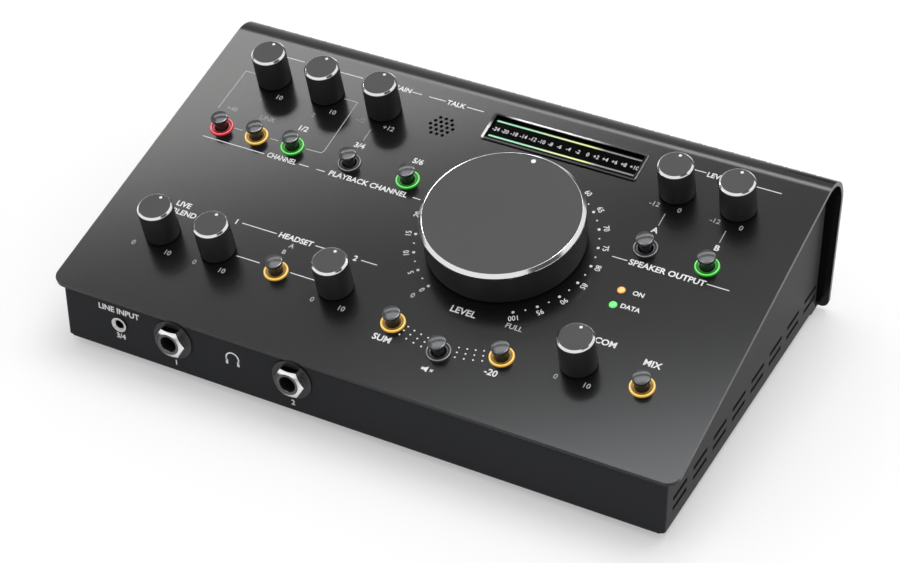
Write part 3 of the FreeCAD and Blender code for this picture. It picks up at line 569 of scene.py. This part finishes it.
button = {
    "cap": [(0, -8.5), (1.7, -8.5), (1.7, -5.0), (2.4, -5.0), (2.4, 4.35), (2.45, 4.52),
            (2.58, 4.6), (3.18, 4.62), (3.34, 4.7), (3.42, 4.85), (3.43, 5.5), (3.41, 5.66),
            (3.34, 5.79), (3.22, 5.88), (3.04, 5.96), (2.3, 6.17), (1.5, 6.33), (0.8, 6.42),
            (0, 6.45)],
    "capSmooth": 24,
    "rimFrom": 5.4,
    "rimInside": 3.02,
    "ring": [(2.9, -3.3), (5.9, -3.3), (5.9, -1.85), (4.75, -1.85), (4.75, 0.24), (4.74, 0.36),
             (4.7, 0.48), (4.62, 0.59), (4.5, 0.67), (4.36, 0.71), (4.22, 0.7), (4.08, 0.64),
             (3.96, 0.55), (3.85, 0.43), (3.76, 0.3), (3.68, 0.2), (3.58, 0.16), (3.48, 0.16),
             (3.4, 0.26), (3.36, 0.38), (3.28, 0.44), (3.1, 0.45), (2.97, 0.4), (2.9, 0.3)],
    "ringSmooth": 50,
    "crest": (4.2, 4.64),
    "groove": 3.74,
    "steps": 64,
    "places": {
        "phantom_power": (-132.5, 13.8), "stereo_link": (-116.7, 14.3),
        "source_1_2": (-100.4, 14.4), "source_3_4": (-74.8, 14.4), "source_usb": (-49.2, 14.5),
        "monitor_a": (50.1, 15.0), "monitor_b": (74.6, 14.9), "phones_source": (-74.7, -44.3),
        "mono": (-21.6, -50.4), "mute": (0.3, -56.5), "dim": (22.6, -50.2), "cue": (74.9, -44.3),
    },
    # node: finishes of the crest, the slopes and the groove, then the slot and the buttons;
    # the crest's finish holds a painted highlight and the groove's painted shade
    "rings": {
        "light_ring_red": (("litRed", "lowRed", "grooveShadeRed"), "red_light", ["phantom_power"]),
        "light_rings_amber": (("litAmber", "lowAmber", "grooveShadeAmber"), "amber_light",
                              ["stereo_link", "phones_source", "mono", "dim", "cue"]),
        "light_rings_green": (("litGreen", "lowGreen", "grooveShadeGreen"), "green_light",
                              ["source_1_2", "source_usb", "monitor_b"]),
        "light_rings_unlit": (("ringCrestHighlight", "ringShade", "ringGrooveShade"), "unlit_light",
                              ["source_3_4", "monitor_a", "mute"]),
    },
}


def makeButtons():
    cap = turnPiece("buttonCap", button["cap"], button["steps"])
    softenEdges(cap, smoothAngle=button["capSmooth"])
    dress(cap, [finishes["capGloss"], finishes["neckBlack"], finishes["capRim"]])
    for face in cap.data.polygons:
        if face.center.z < button["rimFrom"]:
            face.material_index = 1
        elif math.hypot(face.center.x, face.center.y) > button["rimInside"]:
            face.material_index = 2
    for name, (u, v) in button["places"].items():
        ownCap = placeOnPanel(copyOf(cap, name + "Cap"), u, v)
        fit(ownCap, name + "_push", "cap_plastic", name + "_button")
    bpy.data.objects.remove(cap)
    ring = turnPiece("lightRing", closed(button["ring"]), button["steps"])
    softenEdges(ring, smoothAngle=button["ringSmooth"])
    dress(ring, [finishes["litRed"], finishes["lowRed"], finishes["grooveShadeRed"]])
    # The crest takes the painted highlight, the groove the painted shade
    for face in ring.data.polygons:
        reach = math.hypot(face.center.x, face.center.y)
        if reach < button["groove"]:
            face.material_index = 2
        elif not button["crest"][0] < reach < button["crest"][1]:
            face.material_index = 1
    for node, (looks, slotName, names) in button["rings"].items():
        rings = [placeOnPanel(copyOf(ring, name + "Light"), *button["places"][name])
                 for name in names]
        joined = joinPieces(rings, node + "Piece")
        for index, look in enumerate(looks):
            joined.data.materials[index] = finishes[look]
        fit(joined, "case", slotName, node)
    bpy.data.objects.remove(ring)


makeButtons()
print("buttons done")

ink = {
    "lift": 0.012,
    "thick": 0.01,
    "capitals": 0.7,  # their height as a share of the font's size
    "curveSteps": 3,
    "dotSides": 16,
    "meterDrop": 0.8,
    "lineWidth": 0.36,
    "quietWidth": 0.32,
    "quietBold": 0.02,
}


def word(text, height, spot, turn=0.0, wall="panel", bold=0.034, narrow=1.0):
    clearSelection()
    bpy.ops.object.text_add()
    label = bpy.context.object
    label.data.body = text
    label.data.size = height / ink["capitals"]
    label.data.align_x = "CENTER"
    label.data.align_y = "CENTER"
    label.data.resolution_u = ink["curveSteps"]
    label.data.offset = bold * height
    label.data.extrude = ink["thick"]
    bpy.ops.object.convert(target="MESH")
    label = bpy.context.object
    label.scale = (narrow, 1, 1)
    label.rotation_euler = (0, 0, turn)
    bpy.ops.object.transform_apply(location=False, rotation=True, scale=True)
    if wall == "front":
        return placeOnFront(label, spot[0], spot[1], ink["lift"])
    drop = ink["meterDrop"] if wall == "meter" else 0
    return placeOnPanel(label, spot[0], spot[1], ink["lift"] - drop)


def bar(start, end, width):
    clearSelection()
    length = math.hypot(end[0] - start[0], end[1] - start[1])
    bpy.ops.mesh.primitive_cube_add(size=1)
    line = bpy.context.object
    bpy.ops.object.mode_set(mode="EDIT")
    bpy.ops.transform.resize(value=(length, width, ink["thick"] * 2))
    bpy.ops.object.mode_set(mode="OBJECT")
    line.rotation_euler = (0, 0, math.atan2(end[1] - start[1], end[0] - start[0]))
    bpy.ops.object.transform_apply(location=False, rotation=True, scale=False)
    line.location = ((start[0] + end[0]) / 2, (start[1] + end[1]) / 2, 0)
    bpy.ops.object.transform_apply(location=True, rotation=False, scale=False)
    return line


meter = {
    "bezelEdge": 0.06,
    "windowEdge": 0.05,
    "plain": 0.012,
    # the bezel's painted gleams: level, then the stretches along u and along v in which each fades
    # in;
    # a level above zero paints a highlight and one below zero paints shade
    "gleams": [
        (0.3, (-29, -20), (56.7, 56.95)),
        (-0.27, (4, 20), (56.7, 56.95)),
        (0.2, (-31.3, -31.6), (54.0, 50.0)),
        (0.16, (32.3, 32.6), (44.0, 44.1)),
        (0.02, (-33, -32), (44.7, 44.3)),
    ],
    "reach": 30.8,
    "width": 0.78,
    "rows": (47.4, 55.45),
    "top": -0.765,
    "barBase": (0.12, 0.12, 0.12),
    "barStrength": 0.8,
    "barEnds": (-0.0053, 0.0566),
    "barStops": [
        (0.0, (0.12, 0.66, 0.31)), (0.17, (0.15, 0.64, 0.28)), (0.28, (0.38, 0.68, 0.24)),
        (0.42, (0.62, 0.76, 0.24)), (0.74, (0.76, 0.82, 0.1)), (0.795, (0.4, 0.43, 0.1)),
        (0.84, (0.05, 0.05, 0.05)),
    ],
    "greenBelow": -10,  # of the two status lights, the lower one is green
}


# The meter's bars run from green over yellow to unlit, from left to right
def barFinish():
    material = litFinish("barGlow", meter["barBase"], (1, 1, 1), meter["barStrength"])
    tree = material.node_tree
    spot = tree.nodes.new("ShaderNodeTexCoord").outputs["Object"]
    along = spread(tree, axesOf(tree, spot)["X"], 0.0, 1.0, *meter["barEnds"])
    color = rampOf(tree, along, meter["barStops"])
    tree.links.new(color, tree.nodes["Principled BSDF"].inputs["Emission Color"])
    return material


# Steel frame with painted light: painted highlights along its far side and its left end,
# painted shade along its near side
def paintedBezelFinish():
    material = finish("bezelSteelPaintedGleams", (0.1, 0.1, 0.1), grain=2600, depth=0.08, rough=(0.14, 0.2),
                      Metallic=1.0)
    tree = material.node_tree
    axes = axesOf(tree, tree.nodes.new("ShaderNodeTexCoord").outputs["Object"])
    level = meter["plain"]
    # each gleam adds a painted highlight, or painted shade where its level is below zero
    for strength, across, upward in meter["gleams"]:
        fade = spread(tree, axes["X"], 0.0, strength, *[panelPoint(u, 0).x for u in across])
        rise = spread(tree, axes["Y"], 0.0, 1.0, *[panelPoint(0, v).y for v in upward])
        level = calculate(tree, "MULTIPLY_ADD", fade, rise, level)
    tree.links.new(level, tree.nodes["Principled BSDF"].inputs["Base Color"])
    return material


def makeMeterAndLights():
    bezel = softCopy("meterBezel", "meter_bezel", meter["bezelEdge"])
    dress(bezel, [paintedBezelFinish()])
    fit(bezel, "case", "nickel", "meter_bezel")
    body = softCopy("meterBarBody", "meter_light_bars")
    dress(body, [finishes["windowBlack"]])
    parts = [body]
    glow = barFinish()
    for v in meter["rows"]:
        strip = bar((-meter["reach"], v), (meter["reach"], v), meter["width"])
        dress(strip, [glow])
        parts.append(placeOnPanel(strip, 0, 0, meter["top"]))
    fit(joinPieces(parts, "meterBars"), "case", "green_light", "meter_light_bars")
    window = softCopy("meterWindow", "meter_window", meter["windowEdge"])
    dress(window, [finishes["windowBlack"]])
    fit(window, "case", "smoked_window", "meter_window")
    lights = softCopy("statusLights", "status_leds")
    dress(lights, [finishes["ledAmber"], finishes["ledGreen"]])
    for face in lights.data.polygons:
        if face.center.y < panelPoint(0, meter["greenBelow"]).y:
            face.material_index = 1
    fit(lights, "case", "amber_light", "status_leds")


nut = {
    "edge": 0.12,
    "lip": [(3.3, 3.42), (3.34, 3.8), (3.42, 3.92), (3.56, 3.98), (4.6, 3.98), (4.6, 3.82),
            (4.4, 3.8)],
    "lipSteps": 64,
    "lipSmooth": 50,
    "front": [(-101.3, -30.8), (-49.8, -30.8)],
    "rear": [(2.3, -31.2), (26.3, -31.2), (50.3, -31.2), (74.3, -31.2)],
    "span": 13.2,
    # the painted sheen gets lighter to the right and downwards, then a painted highlight is white
    # above the top line, but the flats that look up get painted shade
    "paintedSheenUp": -0.45,
    "paintedSheen": [(0.05, 0.06), (0.3, 0.13), (0.5, 0.5), (0.72, 0.85)],
    "crown": (0.76, 0.86),
    "crownTone": 0.95,
    "upward": (0.55, 0.85),
    "paintedUpwardShade": 0.02,
}


# Painted sheen over each nut, a painted highlight at its top, painted shade on flats looking up
def paintedSheenFinish():
    material = finish("nickelPaintedSheen", (0.5, 0.5, 0.49), grain=2600, depth=0.1, rough=(0.2, 0.3),
                      Metallic=1.0)
    tree = material.node_tree
    layer = tree.nodes.new("ShaderNodeUVMap")
    layer.uv_map = "round"
    axes = axesOf(tree, layer.outputs["UV"])
    # painted sheen: lighter to the right and downwards
    paintedSheen = calculate(tree, "MULTIPLY_ADD", axes["Y"], nut["paintedSheenUp"], axes["X"])
    tint = rampOf(tree, paintedSheen, [(stop, (level, level, level)) for stop, level in nut["paintedSheen"]])
    normal = tree.nodes.new("ShaderNodeNewGeometry").outputs["Normal"]
    crown = spread(tree, axes["Y"], 0.0, 1.0, *nut["crown"])
    upward = spread(tree, axesOf(tree, normal)["Z"], 0.0, 1.0, *nut["upward"])
    # a painted highlight along the top, and painted shade on the flats that look up
    for mask, level in ((crown, nut["crownTone"]), (upward, nut["paintedUpwardShade"])):
        tint = mixTints(tree, tint, (level, level, level, 1.0), mask)
    tree.links.new(tint, tree.nodes["Principled BSDF"].inputs["Base Color"])
    return material


# The uv runs 0 to 1 across the nut that a face belongs to, with 0.5 in its middle
def roundUv(piece, places):
    layer = piece.data.uv_layers.new(name="round")
    x, y, z = case["dialAt"]
    middles = [Vector((across + x, up + z)) for across, up in places]
    for face in piece.data.polygons:
        spot = Vector((face.center.x, face.center.z)) * 1000
        middle = min(middles, key=lambda each: (each - spot).length)
        for loop in face.loop_indices:
            corner = piece.data.vertices[piece.data.loops[loop].vertex_index].co * 1000
            layer.data[loop].uv = (0.5 + (corner.x - middle.x) / nut["span"],
                                   0.5 + (corner.z - middle.y) / nut["span"])


def makeJackFronts():
    nuts = softCopy("jackNuts", "jack_nuts", nut["edge"])
    dress(nuts, [paintedSheenFinish()])
    roundUv(nuts, nut["front"] + nut["rear"])
    lip = turnPiece("jackLip", closed(nut["lip"]), nut["lipSteps"])
    softenEdges(lip, smoothAngle=nut["lipSmooth"])
    dress(lip, [finishes["lipSteel"]])
    lips = [placeOnFront(copyOf(lip, "jackLipOwn"), x, z) for x, z in nut["front"]]
    bpy.data.objects.remove(lip)
    fit(joinPieces([nuts] + lips, "jackNuts"), "case", "nickel", "jack_nuts")
    washers = softCopy("jackWashers", "jack_washers", nut["edge"])
    dress(washers, [finishes["washerDark"]])
    fit(washers, "case", "black_washer", "jack_washers")


makeMeterAndLights()
makeJackFronts()
print("meter and jacks done")


def rule(start, end, width=ink["lineWidth"]):
    return placeOnPanel(bar(start, end, width), 0, 0, ink["lift"])


def spotDot(spot, radius):
    clearSelection()
    bpy.ops.mesh.primitive_cylinder_add(vertices=ink["dotSides"], radius=radius,
                                        depth=ink["thick"] * 2)
    return placeOnPanel(bpy.context.object, spot[0], spot[1], ink["lift"])


def polar(reach, degrees):
    turn = math.radians(degrees)
    return (-reach * math.sin(turn), reach * math.cos(turn))


# Words are (text, height, place), and may go on with turn, wall, bold and narrow
lettering = {
    "bright": [
        ("CHANNEL", 2.45, (-101.2, 7.1), 0.0, "panel", 0.03, 0.8), ("5/6", 2.5, (-49.8, 24.4)),
        ("1/2", 2.5, (-101.1, 24.3)), ("3/4", 2.5, (-75.5, 24.0)),
        ("PLAYBACK CHANNEL", 2.45, (-62.8, 7.1)), ("TALK", 2.3, (-49.7, 57.1)),
        ("GAIN", 2.3, (-73.7, 57.4)), ("LEVEL", 2.3, (61.1, 57.0)), ("GAIN", 2.3, (-113.7, 57.3)),
        ("HEADSET", 2.45, (-75.3, -27.8)), ("1", 2.4, (-101.4, -28.0)),
        ("2", 2.4, (-49.4, -28.0)), ("A", 2.6, (49.7, 24.3)), ("B", 2.6, (74.4, 24.3)),
        ("SPEAKER OUTPUT", 2.6, (62.1, 7.0)), ("LEVEL", 2.8, (0.2, -36.6)),
        ("SUM", 2.7, (-22.1, -58.5)), ("-20", 2.7, (22.1, -58.2)),
        ("INTERCOM", 2.6, (49.6, -30.9)), ("MIX", 2.7, (74.2, -33.9)),
        ("LIVE", 2.45, (-125.4, -27.7)), ("BLEND", 2.45, (-123.0, -31.6)),
        ("ON", 2.0, (56.6, -6.2)), ("DATA", 2.0, (56.4, -13.2)),
    ],
    "quiet": [
        ("10", 2.2, (-118.7, 36.1)), ("10", 2.2, (-94.4, 36.3)), ("+12", 2.2, (-69.1, 36.2)),
        ("-12", 2.2, (44.3, 36.4)), ("0", 2.2, (54.3, 36.5)), ("-12", 2.2, (68.7, 36.4)),
        ("0", 2.2, (79.0, 36.4)), ("0", 2.2, (-134.0, -51.4)), ("10", 2.2, (-118.8, -51.3)),
        ("10", 2.2, (-94.5, -51.6)), ("10", 2.2, (-42.9, -51.5)), ("FULL", 2.2, (20.8, -36.5)),
        ("10", 2.2, (56.4, -51.1)), ("A", 2.0, (-75.2, -31.3)), ("B", 2.0, (-76.6, -34.9)),
        ("0", 2.2, (-106.5, -51.6)), ("0", 2.2, (-55.2, -51.5)), ("0", 2.2, (-20.8, -36.3)),
        ("0", 2.2, (44.4, -51.3)),
    ],
    "dim": [
        ("+48", 2.2, (-133.7, 24.0)), ("LINK", 2.3, (-117.2, 24.0)), ("1", 2.2, (-125.2, 32.2)),
        ("2", 2.2, (-100.9, 32.2)), ("-12", 2.0, (-81.6, 36.3)),
    ],
    "front": [
        ("LINE INPUT", 2.5, (-125.5, -26.4)), ("3/4", 2.3, (-125.5, -38.1)),
        ("1", 2.3, (-101.0, -41.9)), ("2", 2.3, (-50.0, -42.2)),
    ],
    "rules": [
        ((-137.4, 7.0), (-109.0, 7.0)), ((-93.3, 7.0), (-89.0, 7.0)), ((-85.6, 7.0), (-81.8, 7.0)),
        ((-43.2, 7.1), (-39.8, 7.1)), ((-138.0, 57.3), (-118.6, 57.3)),
        ((-109.0, 57.3), (-91.5, 57.3)), ((-69.3, 57.3), (-65.0, 57.3)),
        ((-61.7, 57.3), (-54.4, 57.3)), ((-44.9, 57.3), (-37.5, 57.3)),
        ((-99.0, -27.8), (-83.7, -27.8)), ((-66.8, -27.8), (-61.7, -27.8)),
        ((-92.7, -43.0), (-82.6, -43.0)), ((-69.3, -43.0), (-58.8, -43.0)),
        ((-46.9, -28.0), (-40.1, -28.0)), ((51.3, 57.6), (56.3, 57.6)),
        ((76.2, 57.6), (86.6, 57.6)), ((40.1, 7.2), (46.2, 7.2)), ((77.7, 7.2), (86.5, 7.2)),
    ],
    "quietRules": [
        ((-75.4, 27.0), (-75.4, 33.2)), ((50.0, 27.0), (50.0, 33.2)), ((74.3, 27.1), (74.3, 33.3)),
        ((-127.4, 15.1), (-123.6, 15.1)), ((-110.9, 15.1), (-107.3, 15.1)),
        ((-94.8, 15.1), (-88.0, 15.3)), ((-88.0, 15.3), (-87.3, 16.4)),
        ((-87.3, 16.4), (-87.3, 44.6)), ((-87.3, 44.6), (-93.4, 44.6)),
        ((-132.6, 44.6), (-139.0, 44.6)), ((-139.0, 44.6), (-139.3, 22.6)),
    ],
}
# Angles are in degrees, counterclockwise from the slope's upward line
dialMarks = {
    "from": 150.0,
    "step": 7.5,
    "count": 41,
    "dotReach": 34.8,
    "wholeDot": 0.6,
    "halfDot": 0.36,
    "numberReach": 37.5,
    "numberHeight": 2.25,
    "numberStep": 5,
    "numberBold": 0.012,
    "numberNarrow": 0.88,
}
# The rows of dots between the three buttons below the dial
dotRows = {
    "reaches": (52.4, 54.7, 57.0),
    "angles": (6.9, 10.35, 13.8, 17.2),
    "radius": 0.34,
}
meterScale = {
    "marks": [(-29.4, "-24"), (-25.5, "-20"), (-21.5, "-18"), (-17.5, "-14"), (-13.5, "-12"),
              (-9.7, "-10"), (-5.9, "-8"), (-2.1, "-6"), (1.7, "-4"), (5.7, "-2"), (9.9, "0"),
              (13.4, "+2"), (17.2, "+4"), (21.1, "+6"), (24.9, "+8"), (29.3, "+10")],
    "height": 1.95,
    "row": 51.2,
    "narrow": 0.84,
}
# Bars are (start, end, width)
signs = {
    "headphonesAt": (-75.6, -31.0),
    "hoop": (2.4, 3.0),
    "hoopSteps": 24,
    "earBars": [((2.7, 0.1), (2.7, -1.4), 0.5), ((2.45, -0.7), (2.45, -2.9), 1.0)],
    "speakerAt": (-0.1, -65.2),
    "horn": 1.5,
    "hornAt": -0.5,
    "speakerBars": [((-2.2, 0), (-1.1, 0), 1.15), ((1.25, -0.55), (2.35, 0.55), 0.36),
                    ((1.25, 0.55), (2.35, -0.55), 0.36)],
}


# Headphones: a half hoop and two ear pads
def headphoneSign():
    (inner, outer), thick = signs["hoop"], ink["thick"]
    outline = closed([(inner, -thick), (outer, -thick), (outer, thick), (inner, thick)])
    parts = [turnPiece("signHoop", outline, signs["hoopSteps"], -math.pi)]
    for side in (-1, 1):
        for (x0, y0), (x1, y1), width in signs["earBars"]:
            parts.append(bar((side * x0, y0), (side * x1, y1), width))
    return placeOnFront(joinPieces(parts, "headphoneSign"), *signs["headphonesAt"], ink["lift"])


# A small speaker with a cross beside it
def speakerSign():
    clearSelection()
    bpy.ops.mesh.primitive_cylinder_add(vertices=3, radius=signs["horn"], depth=ink["thick"] * 2)
    horn = bpy.context.object
    horn.rotation_euler = (0, 0, math.radians(90))
    bpy.ops.object.transform_apply(location=False, rotation=True, scale=False)
    horn.location = (signs["hornAt"], 0, 0)
    bpy.ops.object.transform_apply(location=True, rotation=False, scale=False)
    parts = [horn] + [bar(*entry) for entry in signs["speakerBars"]]
    return placeOnPanel(joinPieces(parts, "speakerSign"), *signs["speakerAt"], ink["lift"])


# A dot at every step round the dial, and a number at every second one
def makeDialMarks():
    marks = []
    for step in range(dialMarks["count"]):
        angle = dialMarks["from"] - dialMarks["step"] * step
        half = step % 2
        radius = dialMarks["halfDot"] if half else dialMarks["wholeDot"]
        marks.append(spotDot(polar(dialMarks["dotReach"], angle), radius))
        if not half:
            marks.append(word(str(step // 2 * dialMarks["numberStep"]), dialMarks["numberHeight"],
                              polar(dialMarks["numberReach"], angle), math.radians(angle),
                              bold=dialMarks["numberBold"], narrow=dialMarks["numberNarrow"]))
    return marks


def makePrinting():
    bright = [word(*entry) for entry in lettering["bright"]]
    bright += [word(*entry, wall="front") for entry in lettering["front"]]
    bright += [headphoneSign(), speakerSign()]
    quiet = [word(*entry, bold=ink["quietBold"]) for entry in lettering["quiet"]]
    dim = [word(*entry, bold=ink["quietBold"]) for entry in lettering["dim"]]
    bright += [rule(*ends) for ends in lettering["rules"]]
    quiet += [rule(*ends, ink["quietWidth"]) for ends in lettering["quietRules"]]
    for reach in dotRows["reaches"]:
        for angle in dotRows["angles"]:
            bright.append(spotDot(polar(reach, 180 - angle), dotRows["radius"]))
            bright.append(spotDot(polar(reach, 180 + angle), dotRows["radius"]))
    bright += makeDialMarks()
    scale = [word(mark, meterScale["height"], (u, meterScale["row"]), wall="meter", bold=0.0,
                  narrow=meterScale["narrow"]) for u, mark in meterScale["marks"]]
    for parts, name, finishName in ((bright, "brightPrinting", "printWhite"),
                                    (quiet, "quietPrinting", "printGrey"),
                                    (dim, "dimPrinting", "printDim"),
                                    (scale, "meterScale", "printWhite")):
        joined = joinPieces(parts, name)
        dress(joined, [finishes[finishName]])
        fit(joined, "case", "unlit_light")


makePrinting()
print("printing done")

setting = {
    "floorColor": (0.97, 0.97, 0.97),
    "floorSeenColor": (0.72, 0.72, 0.72),
    "floorLift": 0.335,
    "floorRough": 0.9,
    "floorSize": 8.0,
    "cameraAt": (0.348759, -0.661688, 0.575952),
    "cameraTurn": (53.39398, 0.22305, 27.57268),
    "lens": 96.9756,
    "sensor": 36.0,
    "worldStrength": 0.68,
    "flagTone": 0.04,
    "flagAim": 0.1,  # the cards face a point at this share of their own height
    # name: place, width, height
    "flags": {
        "rearFlag": ((0.25, 1.6, 0.3), 1.2, 0.62),
        "leftFlag": ((-1.9, 0.13, 0.2), 1.13, 0.38),
        "cameraFlag": ((0.94, -0.36, 0.73), 0.8, 0.5),
    },
    # name: place, turn about the upright, width, height, radiance, color, what it lights
    "lamps": {
        "rearSoftbox": ((-0.388, 0.706, 1.0), 28.9, 1.6, 0.317, 10.2, (1, 0.995, 0.985), "gloss"),
        "topSoftbox": ((-0.016, 0.022, 1.0), -62.2, 0.591, 1.195, 9.5, (0.96, 0.98, 1), "gloss"),
        "keyLamp": ((0.12, 0.35, 1.33), 0, 0.9, 0.9, 2.7, (1, 1, 1), "body"),
    },
}


def aim(spot, target=(0, 0, 0)):
    return (Vector(target) - Vector(spot)).to_track_quat("-Z", "Y").to_euler()


# The camera and bright metal see a slightly darker floor with a glow that brings it to white
def makeFloor():
    clearSelection()
    bpy.ops.mesh.primitive_plane_add(size=setting["floorSize"])
    floor = bpy.context.object
    floor.name = "studioFloor"
    material = bpy.data.materials.new("studioFloor")
    material.use_nodes = True
    tree = material.node_tree
    shader = tree.nodes["Principled BSDF"]
    shader.inputs["Roughness"].default_value = setting["floorRough"]
    shader.inputs["Specular IOR Level"].default_value = 0.0
    lift = tree.nodes.new("ShaderNodeEmission")
    rays = tree.nodes.new("ShaderNodeLightPath")
    seen = calculate(tree, "ADD", rays.outputs["Is Camera Ray"], rays.outputs["Is Glossy Ray"])
    tint = mixTints(tree, (*setting["floorColor"], 1.0), (*setting["floorSeenColor"], 1.0), seen)
    tree.links.new(tint, shader.inputs["Base Color"])
    tree.links.new(calculate(tree, "MULTIPLY", seen, setting["floorLift"]), lift.inputs["Strength"])
    both = tree.nodes.new("ShaderNodeAddShader")
    tree.links.new(shader.outputs[0], both.inputs[0])
    tree.links.new(lift.outputs[0], both.inputs[1])
    tree.links.new(both.outputs[0], tree.nodes["Material Output"].inputs["Surface"])
    dress(floor, [material])


# Black cards that only the bright metal sees, low behind and to the left, and beside the camera
def makeFlags():
    material = bpy.data.materials.new("flagBlack")
    material.use_nodes = True
    shader = material.node_tree.nodes["Principled BSDF"]
    tone = setting["flagTone"]
    shader.inputs["Base Color"].default_value = (tone, tone, tone, 1.0)
    shader.inputs["Roughness"].default_value = 1.0
    for name, (spot, width, height) in setting["flags"].items():
        clearSelection()
        bpy.ops.mesh.primitive_plane_add(size=1)
        flag = bpy.context.object
        flag.name = name
        bpy.ops.object.mode_set(mode="EDIT")
        bpy.ops.transform.resize(value=(width, height, 1))
        bpy.ops.object.mode_set(mode="OBJECT")
        flag.location = spot
        flag.rotation_euler = aim(spot, (0, 0, spot[2] * setting["flagAim"]))
        flag.visible_camera = False
        flag.visible_diffuse = False
        flag.visible_shadow = False
        dress(flag, [material])


def makeLamps():
    for name, (spot, turn, width, height, radiance, color, part) in setting["lamps"].items():
        data = bpy.data.lights.new(name, "AREA")
        data.shape = "RECTANGLE"
        data.size = width
        data.size_y = height
        data.energy = radiance * math.pi * width * height
        data.color = color
        lamp = bpy.data.objects.new(name, data)
        scene.collection.objects.link(lamp)
        lamp.location = spot
        lamp.rotation_euler = aim(spot) if part == "body" else (0, 0, math.radians(turn))
        lamp.visible_diffuse = part == "body"
        lamp.visible_glossy = part == "gloss"


def makeWorld():
    world = bpy.data.worlds.new("studioWorld")
    scene.world = world
    world.use_nodes = True
    tree = world.node_tree
    ground = tree.nodes["Background"]
    ground.inputs["Color"].default_value = (1, 1, 1, 1)
    ground.inputs["Strength"].default_value = setting["worldStrength"]
    seen = tree.nodes.new("ShaderNodeBackground")
    seen.inputs["Strength"].default_value = 1.0
    rays = tree.nodes.new("ShaderNodeLightPath")
    total = rays.outputs["Is Camera Ray"]
    for label in ("Is Glossy Ray", "Is Transmission Ray"):
        total = calculate(tree, "MAXIMUM", total, rays.outputs[label])
    mix = tree.nodes.new("ShaderNodeMixShader")
    tree.links.new(total, mix.inputs["Fac"])
    tree.links.new(ground.outputs[0], mix.inputs[1])
    tree.links.new(seen.outputs[0], mix.inputs[2])
    tree.links.new(mix.outputs[0], tree.nodes["World Output"].inputs["Surface"])


def makeCamera():
    data = bpy.data.cameras.new("studioCamera")
    data.lens = setting["lens"]
    data.sensor_width = setting["sensor"]
    data.sensor_fit = "HORIZONTAL"
    camera = bpy.data.objects.new("studioCamera", data)
    scene.collection.objects.link(camera)
    camera.location = setting["cameraAt"]
    camera.rotation_euler = [math.radians(angle) for angle in setting["cameraTurn"]]
    scene.camera = camera


makeFloor()
makeFlags()
makeLamps()
makeWorld()
makeCamera()
scene.view_settings.view_transform = "Standard"
print("setting done")
